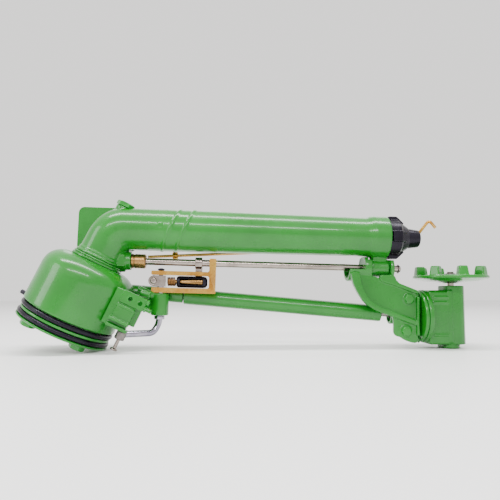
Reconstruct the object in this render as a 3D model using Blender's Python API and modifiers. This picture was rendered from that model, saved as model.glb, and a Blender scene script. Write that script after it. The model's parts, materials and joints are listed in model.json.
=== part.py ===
"""Turbine-driven big-gun irrigation sprinkler, lying on its side as on a bench.

Frames, all reached through parent empties:
  elbow_corner  where the barrel's axis meets the base's axis
  base_axis     +Z up the base's axis, from the riser towards the elbow
  barrel_axis   +X along the barrel towards the nozzle, +Z square to it
  swing_axis    on the stainless shaft under the barrel, +X along it
  gearbox_axis  on the turbine's spindle, +Z up the spindle
  crank_axis    on the reversing crank's upright journal
  drive_axis    +X along the drive tube, origin at its left-hand ball
  breaker_axis  +X along the jet breaker's long rod
Sizes are in millimetres and are turned to metres by MM.
"""
import math

import bmesh
import bpy
from mathutils import Matrix, Vector

MM = 0.001
GAP = 0.3                    # clearance between neighbours that touch

# ---- driving dimensions ----
BARREL_DROOP = 1.5           # degrees the barrel points below level as it lies
TRAJECTORY = 24.0            # degrees of the barrel above square to the base's axis
BASE_LEAN = TRAJECTORY + BARREL_DROOP
BARREL_R = 30.0
BORE_R = 24.5
TAPER_X = 150.0              # where the barrel starts to taper
FRONT_R = 28.6               # its radius behind the bell
MUZZLE_X = 395.5
BELL_X = 370.0
BELL_R = 31.2
LUG_X = 397.4                # back of the nozzle nut's lugs
NUT_CORNER_R = 32.6          # swept by the corners of those lugs
HOUSING_R = 66.0
HOUSING_BOTTOM = -135.0
RING_R = 62.8
RING_WIRE_R = 3.3
RING_UPPER_Z = -139.9
RING_LOWER_Z = -151.6
FLANGE_BOTTOM = -158.5
FLANGE_EDGE_R = 65.0
FLANGE_STEPS = 28            # turned half a step, so that a flat meets the floor
BOLT_CIRCLE_R = 50.0
BOLT_HEAD_R = 11.0
BOLT_HEAD_H = 7.4
SPINDLE_R = 35.0
SPINDLE_BORE_R = 28.0
GEAR_TEETH = 44
GEAR_TIP_R = 45.5
PINION_TEETH = 10
PINION_ORBIT_R = 51.8
PINION_ANGLE = 28.0          # degrees from the barrel's side towards the back
SHAFT_R = 5.0
SHAFT_DROP = 45.5            # swing shaft below the barrel's axis
SHAFT_END_X = 417.0
CRANK_X = 69.0
CRANK_R = 4.6
CRANK_RANGE = 8.2            # degrees each way
TUBE_R = 11.6
TUBE_LEFT = Vector((92.0, 24.0, -93.0))
TUBE_RIGHT = Vector((404.0, 0.0, -112.0))
TURBINE_X = 495.0
TURBINE_DROP = 112.0         # spindle's gear centre below the barrel's axis
TURBINE_R = 53.0
VANE_R = 44.4
VANES = 8
BOLT_ANGLES = (45.0, 135.0, 225.0, 315.0)

# ---- colours: base colour, roughness, metallic ----
PAINTS = {
    "green_enamel": ((0.075, 0.47, 0.095, 1.0), 0.22, 0.0),
    "stainless": ((0.62, 0.60, 0.57, 1.0), 0.22, 1.0),
    "chrome": ((0.70, 0.70, 0.72, 1.0), 0.12, 1.0),
    "yellow_zinc": ((0.78, 0.55, 0.20, 1.0), 0.30, 1.0),
    "brass": ((0.70, 0.50, 0.24, 1.0), 0.32, 1.0),
    "black_plastic": ((0.012, 0.011, 0.014, 1.0), 0.35, 0.0),
    "rubber": ((0.02, 0.02, 0.02, 1.0), 0.6, 0.0),
    "steel": ((0.45, 0.44, 0.43, 1.0), 0.35, 1.0),
    "bronze": ((0.50, 0.33, 0.16, 1.0), 0.35, 1.0),
}


def clear_scene():
    for item in list(bpy.data.objects):
        bpy.data.objects.remove(item, do_unlink=True)


def make_collection(name):
    made = bpy.data.collections.new(name)
    bpy.context.scene.collection.children.link(made)
    return made


def make_material(name):
    colour, roughness, metallic = PAINTS[name]
    made = bpy.data.materials.new(name)
    made.use_nodes = True
    shader = made.node_tree.nodes["Principled BSDF"]
    shader.inputs["Base Color"].default_value = colour
    shader.inputs["Roughness"].default_value = roughness
    shader.inputs["Metallic"].default_value = metallic
    made.diffuse_color = colour
    return made


def make_frame(name, parent=None, location=(0, 0, 0), rotation=Matrix.Identity(4)):
    empty = bpy.data.objects.new(name, None)
    PARTS.objects.link(empty)
    empty.parent = parent
    empty.matrix_local = Matrix.Translation(Vector(location) * MM) @ rotation
    return empty


def turn_y(degrees):
    return Matrix.Rotation(math.radians(degrees), 4, "Y")


def along(direction):
    """Rotation that takes +Z to a direction."""
    return Vector(direction).normalized().to_track_quat("Z", "Y").to_matrix().to_4x4()


AXES = {
    "X": Matrix.Rotation(math.radians(90), 4, "Y"),
    "Y": Matrix.Rotation(math.radians(-90), 4, "X"),
    "Z": Matrix.Identity(4),
}


def finish(obj, frame, paint, location=(0, 0, 0), rotation=None):
    """Puts an object in its frame: a node if it has a paint, else a tool for cuts and joins."""
    obj.parent = frame
    obj.matrix_local = Matrix.Translation(Vector(location) * MM) @ (rotation or AXES["Z"])
    if paint:
        PARTS.objects.link(obj)
        obj.data.materials.append(MATERIALS[paint])
    else:
        CUTTERS.objects.link(obj)
        obj.hide_render = True
        obj.display_type = "WIRE"
    return obj


def from_bmesh(name, bm):
    mesh = bpy.data.meshes.new(name)
    bmesh.ops.recalc_face_normals(bm, faces=bm.faces)
    bm.to_mesh(mesh)
    bm.free()
    mesh.shade_smooth()
    mesh.set_sharp_from_angle(angle=math.radians(35))
    return bpy.data.objects.new(name, mesh)


def turned(name, frame, paint, profile, location=(0, 0, 0), axis="Z", steps=28, ring=False,
           rotation=None):
    """A profile of (radius, height) turned about the local Z axis.

    The profile runs down the outer side; a ring's goes on and closes up its bore.
    """
    mesh = bpy.data.meshes.new(name)
    points = [(r * MM, 0.0, z * MM) for r, z in profile]
    edges = [(i, i + 1) for i in range(len(points) - 1)]
    if ring:
        edges.append((len(points) - 1, 0))
    mesh.from_pydata(points, edges, [])
    obj = bpy.data.objects.new(name, mesh)
    screw = obj.modifiers.new("turn", "SCREW")
    screw.axis = "Z"
    screw.angle = math.tau
    screw.steps = steps
    screw.render_steps = steps
    screw.use_merge_vertices = True
    screw.merge_threshold = 0.00001
    screw.use_normal_calculate = False
    return finish(obj, frame, paint, location, rotation or AXES[axis])


def ring_profile(inner, outer, bottom, top, chamfer=0.0):
    if not chamfer:
        return [(inner, top), (outer, top), (outer, bottom), (inner, bottom)]
    return [(inner, top), (outer - chamfer, top), (outer, top - chamfer),
            (outer, bottom + chamfer), (outer - chamfer, bottom), (inner, bottom)]


def tube_ring(name, frame, paint, inner, outer, bottom, top, **options):
    profile = ring_profile(inner, outer, bottom, top, options.pop("chamfer", 0.0))
    return turned(name, frame, paint, profile, ring=True, **options)


def rod(name, frame, paint, start, end, radius, sides=16, end_radius=None):
    """A round bar, or a cone, from one point to another."""
    start, end = Vector(start), Vector(end)
    bm = bmesh.new()
    bmesh.ops.create_cone(bm, cap_ends=True, segments=sides, radius1=radius * MM,
                          radius2=(radius if end_radius is None else end_radius) * MM,
                          depth=(end - start).length * MM)
    obj = from_bmesh(name, bm)
    return finish(obj, frame, paint, (start + end) / 2, along(end - start))


def box(name, frame, paint, low, high, bevel=0.0):
    low, high = Vector(low), Vector(high)
    bm = bmesh.new()
    bmesh.ops.create_cube(bm, size=1.0)
    size = (high - low) * MM
    bmesh.ops.scale(bm, vec=size, verts=bm.verts)
    obj = from_bmesh(name, bm)
    if bevel:
        round_edges(obj, bevel)
    return finish(obj, frame, paint, (low + high) / 2)


def round_edges(obj, width, segments=1):
    bevel = obj.modifiers.new("edges", "BEVEL")
    bevel.width = width * MM
    bevel.segments = segments
    bevel.limit_method = "ANGLE"
    bevel.angle_limit = math.radians(40)
    return obj


def curve_mesh(name, curve):
    """The curve as one welded mesh."""
    source = bpy.data.objects.new(name + "_curve", curve)
    bpy.context.scene.collection.objects.link(source)
    graph = bpy.context.evaluated_depsgraph_get()
    mesh = bpy.data.meshes.new_from_object(source.evaluated_get(graph), depsgraph=graph)
    bm = bmesh.new()
    bm.from_mesh(mesh)
    bmesh.ops.remove_doubles(bm, verts=bm.verts, dist=0.00001)
    bpy.data.objects.remove(source, do_unlink=True)
    return from_bmesh(name, bm)


def plate(name, frame, paint, outline, front, back, holes=()):
    """A flat outline of (x, z) points, from y = front to y = back, with round holes."""
    curve = bpy.data.curves.new(name, "CURVE")
    curve.dimensions = "2D"
    curve.fill_mode = "BOTH"
    curve.extrude = (back - front) / 2 * MM
    rings = [outline] + [circle(x, z, r, 12) for x, z, r in holes]
    for points in rings:
        spline = curve.splines.new("POLY")
        spline.points.add(len(points) - 1)
        for point, (x, z) in zip(spline.points, points):
            point.co = (x * MM, z * MM, 0.0, 1.0)
        spline.use_cyclic_u = True
    upright = Matrix.Rotation(math.radians(90), 4, "X")
    return finish(curve_mesh(name, curve), frame, paint, (0, (front + back) / 2, 0), upright)


def circle(x, z, radius, count):
    turns = [math.tau * i / count for i in range(count)]
    return [(x + radius * math.cos(a), z + radius * math.sin(a)) for a in turns]


def wire(name, frame, paint, points, radius, cyclic=False):
    """A round wire through points, rounded off by a smooth curve."""
    curve = bpy.data.curves.new(name, "CURVE")
    curve.dimensions = "3D"
    curve.bevel_depth = radius * MM
    curve.bevel_resolution = 2
    curve.use_fill_caps = True
    spline = curve.splines.new("POLY")
    spline.points.add(len(points) - 1)
    for point, place in zip(spline.points, points):
        point.co = (*(Vector(place) * MM), 1.0)
    spline.use_cyclic_u = cyclic
    return finish(curve_mesh(name, curve), frame, paint)


def rounded_path(corners, radius, steps=5):
    """Points of a path whose inner corners are arcs of about the radius."""
    corners = [Vector(c) for c in corners]
    path = [corners[0]]
    for before, here, after in zip(corners, corners[1:], corners[2:]):
        reach = min(radius, (here - before).length * 0.45, (after - here).length * 0.45)
        first = here + (before - here).normalized() * reach
        last = here + (after - here).normalized() * reach
        for i in range(steps + 1):
            t = i / steps
            path.append(first * (1 - t) ** 2 + here * 2 * t * (1 - t) + last * t * t)
    path.append(corners[-1])
    return path


def loft(name, frame, paint, sections):
    """A closed skin through rings of points, with a flat cap on each end."""
    bm = bmesh.new()
    rings = [[bm.verts.new(Vector(p) * MM) for p in section] for section in sections]
    for ring, following in zip(rings, rings[1:]):
        for i in range(len(ring)):
            j = (i + 1) % len(ring)
            bm.faces.new((ring[i], ring[j], following[j], following[i]))
    bm.faces.new(rings[0])
    bm.faces.new(rings[-1])
    return finish(from_bmesh(name, bm), frame, paint)


def combine(obj, operation, tools):
    for tool in tools:
        step = obj.modifiers.new(tool.name, "BOOLEAN")
        step.operation = operation
        step.solver = "EXACT"
        step.object = tool
    return obj


def cut(obj, *tools):
    return combine(obj, "DIFFERENCE", tools)


def join(obj, *tools):
    return combine(obj, "UNION", tools)


def polar(radius, degrees, z=0.0):
    angle = math.radians(degrees)
    return Vector((radius * math.cos(angle), radius * math.sin(angle), z))


def barrel_point(x, y, z):
    """A point given in the barrel's frame, in the base's frame."""
    slope = math.radians(TRAJECTORY)
    return Vector((x * math.cos(slope) - z * math.sin(slope), y,
                   x * math.sin(slope) + z * math.cos(slope)))


# ---- base: everything that stays still on the riser ----
def base_flange():
    groove = RING_R - RING_WIRE_R - 0.9
    profile = [(35.3, -136.0), (groove, -136.0), (groove, -143.8), (64.2, -144.3), (64.2, -147.4),
               (groove, -147.9), (groove, -155.3), (66.0, -155.8), (66.0, FLANGE_BOTTOM + 1.0),
               (FLANGE_EDGE_R, FLANGE_BOTTOM), (35.3, FLANGE_BOTTOM)]
    half_step = Matrix.Rotation(math.pi / FLANGE_STEPS, 4, "Z")
    flange = turned("base_flange", BASE, "green_enamel", profile, ring=True,
                    steps=FLANGE_STEPS, rotation=half_step)
    for index, angle in enumerate(BOLT_ANGLES):
        hole = rod(f"hole_base_bolt_{index + 1}", BASE, None, polar(BOLT_CIRCLE_R, angle, -170.0),
                   polar(BOLT_CIRCLE_R, angle, -139.0), 6.0, 12)
        cut(flange, hole)


def base_bolts():
    head_top = FLANGE_BOTTOM - GAP
    for index, angle in enumerate(BOLT_ANGLES):
        name = f"base_bolt_{index + 1}"
        place = polar(BOLT_CIRCLE_R, angle)
        head = rod(name, BASE, "green_enamel", place + Vector((0, 0, head_top - BOLT_HEAD_H)),
                   place + Vector((0, 0, head_top)), BOLT_HEAD_R, 6)
        round_edges(head, 0.8)
        join(head, rod(name + "_shank", BASE, None, place + Vector((0, 0, head_top - 3.0)),
                       place + Vector((0, 0, -139.6)), 5.6, 12))


def base_inner_parts():
    tube_ring("inlet_spindle", BASE, "stainless", SPINDLE_BORE_R, SPINDLE_R,
              FLANGE_BOTTOM, -62.3, chamfer=0.8)
    tube_ring("thrust_bearing", BASE, "steel", SPINDLE_R + GAP, 42.6, -126.7, -118.4, chamfer=1.0)
    gear = gear_wheel("ring_gear", BASE, "steel", GEAR_TEETH, GEAR_TIP_R, 3.0, 0.0, -135.7, -127.0)
    cut(gear, rod("hole_ring_gear", BASE, None, (0, 0, -140), (0, 0, -120), SPINDLE_R + GAP, 28))


def gear_wheel(name, frame, paint, teeth, tip, depth, phase, bottom, top, centre=(0, 0)):
    """A spur gear about an upright axis."""
    outline = []
    for tooth in range(teeth):
        for part, radius in ((0.0, tip - depth), (0.30, tip - depth), (0.45, tip), (0.80, tip)):
            angle = math.tau * (tooth + part) / teeth + math.radians(phase)
            outline.append((radius * math.cos(angle), radius * math.sin(angle)))
    rings = [[(centre[0] + x, centre[1] + y, z) for x, y in outline] for z in (bottom, top)]
    return loft(name, frame, paint, rings)


def sector_ring(name, height, leg_angle, lift):
    """A sprung ring round the base, with two legs that stand out to stop the trip pin."""
    half_gap = 5.0
    leg_end = 94.0
    first, last = leg_angle + half_gap, leg_angle + 360.0 - half_gap
    count = 24
    arc = [polar(RING_R, first + (last - first) * i / count, height) for i in range(count + 1)]
    legs = []
    for angle in (first, last):
        legs.append([polar(leg_end, angle, height + lift), polar(RING_R + 14.0, angle, height + lift),
                     polar(RING_R + 9.0, angle, height)])
    return wire(name, BASE, "black_plastic", legs[0] + arc + legs[1][::-1], RING_WIRE_R)


# ---- gun body: turns on the base ----
def base_housing():
    profile = [(28.5, -54.0), (37.0, -54.0), (44.0, -54.9), (51.5, -57.6), (58.0, -62.0),
               (62.6, -67.6), (65.2, -74.0), (HOUSING_R, -81.0), (HOUSING_R, HOUSING_BOTTOM + 0.8),
               (HOUSING_R - 0.8, HOUSING_BOTTOM), (61.0, HOUSING_BOTTOM), (61.0, -82.0),
               (59.0, -74.0), (54.0, -67.5), (48.0, -64.5), (43.2, -64.0), (43.2, -118.0),
               (39.3, -118.0), (39.3, -60.0), (28.5, -60.0)]
    housing = turned("base_housing", BASE, "green_enamel", profile, ring=True, steps=28)
    journal = rod("crank_journal", BARREL, None, (CRANK_X, 0, -121.0), (CRANK_X, 0, -89.8),
                  12.6, 20)
    drive_boss = rod("drive_boss", BARREL, None, (12.0, 24.0, -88.6), (76.0, 24.0, -92.1), 11.0)
    bridge = box("journal_bridge", BARREL, None, (22.0, 4.0, -112.0), (CRANK_X, 20.0, -94.0), 2.0)
    join(housing, bridge, journal, drive_boss)
    cut(housing,
        rod("hole_crank", BARREL, None, (CRANK_X, 0, -125.0), (CRANK_X, 0, -85.0), 5.4, 16),
        rod("hole_drive", BARREL, None, (5.0, 24.0, -88.2), (80.0, 24.0, -92.3), 6.4, 16),
        tube_ring("housing_inside", BASE, None, 43.2, 61.0, -134.0, -82.0, steps=28))


def housing_inner_parts():
    tube_ring("spindle_bushing", BASE, "bronze", SPINDLE_R + GAP, 39.0, -100.0, -68.5)
    tube_ring("spindle_seal", BASE, "rubber", SPINDLE_R + GAP, 39.0, -68.2, -62.6)
    profile = [(25.5, -47.2), (35.0, -47.2), (35.0, -50.2), (36.6, -50.6), (36.6, -53.7),
               (25.5, -53.7)]
    turned("neck_ring", BASE, "green_enamel", profile, ring=True, steps=28)


def final_pinion():
    centre = polar(PINION_ORBIT_R, PINION_ANGLE)
    frame = make_frame("pinion_axis", BASE, centre)
    pinion = gear_wheel("final_pinion", frame, "steel", PINION_TEETH, 6.0, 1.6, 9.0, -134.5, -126.5)
    crown = gear_wheel("final_pinion_crown", frame, None, 16, 8.2, 1.6, 0.0, -100.0, -96.0)
    join(pinion, rod("final_pinion_shaft", frame, None, (0, 0, -130.0), (0, 0, -99.0), 3.6, 12),
         crown)


def barrel_section(centre, inward, half, width, count=24):
    """One ring of the barrel's skin: an ellipse across the path."""
    side = Vector((0, 1, 0))
    return [centre + inward * (half * math.cos(math.tau * i / count))
            + side * (width * math.sin(math.tau * i / count)) for i in range(count)]


def barrel_rings(wall, neck, straight):
    """Rings up the neck, round the elbow and along the barrel, a wall inside the outer skin."""
    outer_centre, outer_r = Vector((25.0, 0, -16.2)), 55.0 - wall
    inner_centre, inner_r = Vector((40.0, 0, -26.0)), 10.0 + wall
    width = BARREL_R - wall
    rings = [barrel_section(Vector((0, 0, z)), Vector((1, 0, 0)), r, r) for z, r in neck]
    bend = 90.0 - TRAJECTORY
    for i in range(7):
        angle = math.radians(180.0 - bend * i / 6)
        outward = Vector((math.cos(angle), 0, math.sin(angle)))
        outer = outer_centre + outward * outer_r
        inner = inner_centre + outward * inner_r
        half = (inner - outer).length / 2
        rings.append(barrel_section((outer + inner) / 2, (inner - outer).normalized(), half, width))
    down = barrel_point(0, 0, -1)
    for x, r in straight:
        rings.append(barrel_section(barrel_point(x, 0, 0), down, r, r))
    return rings


def barrel_radius(x):
    """Outer radius of the barrel between the elbow and the bell."""
    tapered = max(0.0, x - TAPER_X) / (BELL_X - 4.0 - TAPER_X)
    return BARREL_R + (FRONT_R - BARREL_R) * tapered


def band(name, x):
    """A raised oblique band round the barrel, in a plane along the base's axis."""
    shear = 0.42
    rings = []
    for offset, radius in ((-2.2, 29.0), (-1.0, 31.0), (1.0, 31.0), (2.2, 29.0)):
        points = circle(0, 0, radius, 16)
        rings.append([(x + offset + shear * z, y, z) for y, z in points])
    return loft(name, BARREL, None, rings)


def barrel_body():
    neck = [(-46.9, 33.8), (-42.9, 33.8), (-42.2, 30.2)]
    straight = [(TAPER_X, BARREL_R), (BELL_X - 4.0, FRONT_R), (BELL_X, FRONT_R + 1.2),
                (BELL_X + 3.0, BELL_R),
                (MUZZLE_X - 1.2, BELL_R), (MUZZLE_X, BELL_R - 1.2)]
    body = loft("barrel_body", BASE, "green_enamel", barrel_rings(0.0, neck, straight))
    wall = BARREL_R - BORE_R
    bore = loft("barrel_bore", BASE, None, barrel_rings(
        wall, [(-60.0, BORE_R)], [(MUZZLE_X + 10.0, BORE_R)]))
    turret = rod("gauge_boss", BASE, None, (0, 0, 20.0), (0, 0, 34.5), 11.6, 16)
    hexagon = rod("rear_bearing_hex", BARREL, None, (2.0, 0, -SHAFT_DROP), (20.0, 0, -SHAFT_DROP),
                  16.0, 6)
    collar = rod("rear_bearing_collar", BARREL, None, (18.0, 0, -SHAFT_DROP),
                 (27.0, 0, -SHAFT_DROP), 13.0, 16)
    spool = rod("front_lug", BARREL, None, (371.4, 0, -SHAFT_DROP), (397.1, 0, -SHAFT_DROP),
                13.8, 20)
    saddle = box("front_lug_web", BARREL, None, (374.0, -9.0, -42.0), (394.0, 9.0, -27.0), 1.0)
    join(body, band("rear_band", 81.5), band("front_band", 101.5), turret, hexagon, collar,
         saddle, spool)
    for name, x in (("rear", -6.0), ("front", 16.0)):
        join(body, rod(f"plate_boss_{name}", BARREL, None, (x, 22.0, 2.0), (x, 37.6, 2.0), 7.0, 16))
    cut(body, bore,
        rod("neck_clearance", BASE, None, (0, 0, -80.0), (0, 0, -46.9), 39.0, 36),
        rod("gauge_spot_face", BASE, None, (0, 0, 34.5), (0, 0, 60.0), 14.2, 16),
        rod("muzzle_counterbore", BARREL, None, (369.7, 0, 0), (420.0, 0, 0), 26.7, 28),
        rod("hole_gauge", BASE, None, (0, 0, 15.0), (0, 0, 40.0), 7.0, 16),
        rod("hole_rear_bearing", BARREL, None, (8.0, 0, -SHAFT_DROP), (30.0, 0, -SHAFT_DROP),
            8.3, 16),
        rod("hole_front_bearing", BARREL, None, (366.0, 0, -SHAFT_DROP), (404.0, 0, -SHAFT_DROP),
            8.0, 16))
    for name, x in (("rear", -6.0), ("front", 16.0)):
        cut(body, rod(f"hole_plate_bolt_{name}", BARREL, None, (x, 31.0, 2.0), (x, 40.0, 2.0),
                      3.6, 12))


def gauge_plug():
    plug = rod("gauge_plug", BASE, "green_enamel", (0, 0, 34.8), (0, 0, 41.2), 13.6, 6)
    round_edges(plug, 0.8)
    join(plug, rod("gauge_plug_thread", BASE, None, (0, 0, 27.0), (0, 0, 36.0), 6.7, 16))


def rear_plate():
    outline = [(-61.0, -28.0), (-61.0, 31.0), (-56.0, 36.0), (22.0, 36.0), (27.0, 31.0),
               (27.0, -24.0), (22.0, -29.0), (-60.0, -29.0)]
    holes = [(-6.0, 2.0, 3.7), (16.0, 2.0, 3.7)]
    plate("rear_plate", BARREL, "green_enamel", outline, 37.9, 42.4, holes)
    for name, x in (("rear", -6.0), ("front", 16.0)):
        bolt = rod(f"plate_bolt_{name}", BARREL, "green_enamel", (x, 42.7, 2.0), (x, 47.2, 2.0),
                   6.4, 6)
        join(bolt, rod(f"plate_bolt_{name}_shank", BARREL, None, (x, 32.0, 2.0), (x, 44.0, 2.0),
                       3.3, 12))


def shaft_bearings():
    bush = tube_ring("rear_bush", BARREL, "brass", SHAFT_R + GAP, 10.3, 27.3, 47.0,
                     location=(0, 0, -SHAFT_DROP), axis="X", steps=20, chamfer=0.8)
    join(bush, tube_ring("rear_bush_stem", BARREL, None, SHAFT_R + GAP, 8.0, 9.0, 28.5,
                         location=(0, 0, -SHAFT_DROP), axis="X", steps=20))
    tube_ring("front_bush", BARREL, "bronze", SHAFT_R + GAP, 7.7, 371.6, 396.9,
              location=(0, 0, -SHAFT_DROP), axis="X", steps=20)


def nozzle_parts():
    tube_ring("nozzle_gasket", BARREL, "rubber", 21.0, 26.3, 370.0, 372.8, axis="X", steps=20)
    cone = [(23.0, -373.1), (26.3, -373.1), (26.3, -377.4), (20.6, -377.4), (15.0, -424.0),
            (14.6, -430.0), (13.0, -442.0), (12.2, -444.5), (9.8, -444.5), (9.8, -428.0),
            (19.0, -377.0)]
    backwards = Matrix.Rotation(math.radians(-90), 4, "Y")
    turned("nozzle", BARREL, "black_plastic", cone, ring=True, steps=20, rotation=backwards)
    skirt = [(21.3, -377.8), (26.3, -377.8), (26.3, -MUZZLE_X - GAP), (27.4, -MUZZLE_X - GAP),
             (27.4, -411.0), (24.0, -414.5), (16.2, -426.0), (15.3, -426.0)]
    nut = turned("nozzle_nut", BARREL, "black_plastic", skirt, ring=True, steps=20,
                 rotation=backwards)
    for index, angle in enumerate((0, 90, 180, 270)):
        lug = box(f"nozzle_nut_lug_{index + 1}", BARREL, None, (LUG_X, -7.5, 24.0),
                  (LUG_X + 14.0, 7.5, 31.5), 1.2)
        centre = Matrix.Translation(Vector((LUG_X + 7.0, 0, 27.75)) * MM)
        lug.matrix_local = Matrix.Rotation(math.radians(angle), 4, "X") @ centre
        join(nut, lug)


# ---- trip bracket, crank and toggle ----
def trip_bracket():
    block = box("trip_bracket", BASE, "green_enamel", (50.0, -47.0, -118.0), (84.0, -36.0, -68.0))
    upper = plate("bracket_upper_plate", BASE, None,
                  [(60.5, -84.0), (60.5, -67.0), (94.0, -67.0), (94.0, -84.0)], -48.5, -43.0)
    middle = box("bracket_middle_plate", BASE, None, (60.0, -50.0, -106.0), (85.0, -43.0, -87.0))
    ribs = [box(f"bracket_rib_{i + 1}", BASE, None, (58.0, -55.0, z - 2.0), (x, -43.0, z + 2.0))
            for i, (z, x) in enumerate(((-107.5, 86.0), (-116.0, 88.0)))]
    stop = box("bracket_back_rib", BASE, None, (82.0, -42.0, -108.0), (92.0, -36.0, -83.0))
    studs = [rod(f"bracket_stud_{i + 1}", BASE, None, (90.0, -45.6, z), (x, -45.6, z), 2.6, 12)
             for i, (z, x) in enumerate(((-70.6, 97.5), (-79.6, 104.0)))]
    join(block, upper, middle, stop, *ribs, *studs)
    saddle = rod("bracket_saddle", BASE, None, (0, 0, -140.0), (0, 0, -50.0), HOUSING_R + GAP, 56)
    cut(block, saddle)
    cut(block, *crank_reliefs())
    for index, x in enumerate((72.6, 86.7)):
        cut(block, rod(f"hole_bracket_{index + 1}", BASE, None, (x, -55.0, -75.5),
                       (x, -30.0, -75.5), 3.1, 12))


def crank_reliefs():
    """Room in the bracket for the crank's leg and hub at the end of their swing."""
    swung = Matrix.Rotation(math.radians(CRANK_RANGE), 3, "Z")
    knee = swung @ Vector((-7.0, -5.0, -41.5))
    end = swung @ Vector((-46.2, -33.0, -42.0))
    slope = math.radians(TRAJECTORY)
    upright = swung @ Vector((math.sin(slope), 0, math.cos(slope)))
    return (rod("leg_relief", CRANK, None, knee, end + (end - knee).normalized() * 8.0,
                CRANK_R + 0.9, 16),
            rod("hub_relief", CRANK, None, end - upright * 8.4, end + upright * 5.2, 7.8, 16))


def crank():
    """Chrome rod: an upright journal, a bend and a leg that reaches the trip pin."""
    corners = [(0, 0, 32.0), (0, 0, -28.0), (-7.0, -5.0, -41.5), (-46.2, -33.0, -42.0)]
    bar = wire("crank_rod", CRANK, "chrome", rounded_path(corners, 13.0, 6), CRANK_R)
    join(bar, rod("crank_collar", CRANK, None, (0, 0, -22.6), (0, 0, -17.6), 7.4))
    pin = barrel_pin_place()
    hub = rod("trip_hub", BASE, "steel", pin + Vector((0, 0, -7.2)), pin + Vector((0, 0, 4.0)),
              6.8, 16)
    rod_leg = rod("crank_leg_clearance", CRANK, None, (-28.0, -20.0, -41.77),
                  (-50.0, -35.7, -42.05), CRANK_R + GAP, 16)
    pin_hole = rod("hole_trip_pin", BASE, None, pin + Vector((0, 0, -12.0)),
                   pin + Vector((0, 0, -5.0)), 2.8, 12)
    cut(hub, rod_leg, pin_hole)
    trip = rod("trip_pin", BASE, "stainless", pin + Vector((0, 0, -21.0)),
               pin + Vector((0, 0, -5.4)), 2.4, 12)
    join(trip, rod("trip_pin_head", BASE, None, pin + Vector((0, 0, -23.0)),
                   pin + Vector((0, 0, -20.0)), 5.0, 12))


def barrel_pin_place():
    """Middle of the crank leg's far end, in the base's frame."""
    return barrel_point(CRANK_X - 46.2, -33.0, -104.0 - 42.0)


def crank_arm():
    outline = [(-8.3, 39.0), (7.4, 39.0), (7.4, 23.5), (-8.3, 23.5)]
    arm = plate("crank_arm", CRANK, "stainless", outline, -7.0, 7.0)
    round_edges(arm, 0.8)
    eye = rod("crank_arm_eye", CRANK, None, (-9.5, -5.0, 31.6), (-9.5, 5.0, 31.6), 7.6, 16)
    join(arm, eye)
    cut(arm, rod("hole_crank_arm", CRANK, None, (0, 0, 15.0), (0, 0, 50.0), 4.95, 16),
        rod("hole_arm_bolt", CRANK, None, (-9.5, -20.0, 31.6), (-9.5, 20.0, 31.6), 2.8, 12))
    bolt = rod("crank_arm_bolt", CRANK, "stainless", (-9.5, -10.2, 31.6), (-9.5, -7.3, 31.6),
               4.6, 16)
    join(bolt, rod("crank_arm_bolt_shank", CRANK, None, (-9.5, -8.0, 31.6), (-9.5, 8.0, 31.6),
                   2.5, 12))
    cap = rod("crank_top_pin", CRANK, "black_plastic", (0, 0, 32.4), (0, 0, 49.5), 3.0, 12)
    join(cap, rod("crank_top_nut", CRANK, None, (0, 0, 46.2), (0, 0, 49.0), 4.9, 6))


def toggle_frame():
    outline = [(56.0, -58.3), (137.4, -58.3), (137.4, -39.0), (147.0, -39.0), (147.0, -88.9),
               (57.0, -88.9), (57.0, -81.8), (137.4, -81.8), (137.4, -64.1), (56.0, -64.1)]
    frame = plate("toggle_frame", BARREL, "yellow_zinc", outline, -7.3, 7.3)
    cut(frame,
        rod("hole_frame_shaft", BARREL, None, (130.0, 0, -SHAFT_DROP), (155.0, 0, -SHAFT_DROP),
            SHAFT_R + GAP, 16),
        rod("hole_frame_top", BARREL, None, (CRANK_X, 0, -70.0), (CRANK_X, 0, -50.0), 3.4, 12),
        rod("hole_frame_bottom", BARREL, None, (CRANK_X, 0, -95.0), (CRANK_X, 0, -75.0), 5.1, 16))


def toggle_parts():
    """Sprung link from the crank's arm to the lever on the swing shaft."""
    frame = make_frame("toggle_axis", BARREL, (CRANK_X, 0, -73.0))
    sleeve = [(3.8, -22.6), (6.6, -22.6), (8.2, -25.0), (8.2, -60.5), (7.4, -64.2), (4.4, -66.2),
              (0.0, -66.4)]
    inside = [(0.0, -63.0), (4.6, -62.6), (6.7, -60.0), (6.7, -26.0), (3.8, -25.0)]
    backwards = Matrix.Rotation(math.radians(-90), 4, "Y")
    shell = turned("toggle_sleeve", frame, "black_plastic", sleeve + inside,
                   ring=True, steps=20, rotation=backwards)
    cut(shell, box("toggle_window", frame, None, (27.0, -12.0, -4.6), (60.0, -3.0, 4.6)))
    plunger = [(0.0, -9.2), (3.0, -9.2), (3.0, -26.5), (3.6, -27.5), (5.9, -56.0), (5.9, -59.3),
               (0.0, -59.3)]
    turned("toggle_plunger", frame, "brass", plunger, steps=16, rotation=backwards)
    turns, per_turn = 5, 6
    coil = []
    for i in range(turns * per_turn + 1):
        angle = math.tau * i / per_turn
        coil.append((9.6 + 11.2 * i / (turns * per_turn), 5.6 * math.cos(angle),
                     5.6 * math.sin(angle)))
    wire("toggle_spring", frame, "bronze", coil, 1.0)


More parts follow.
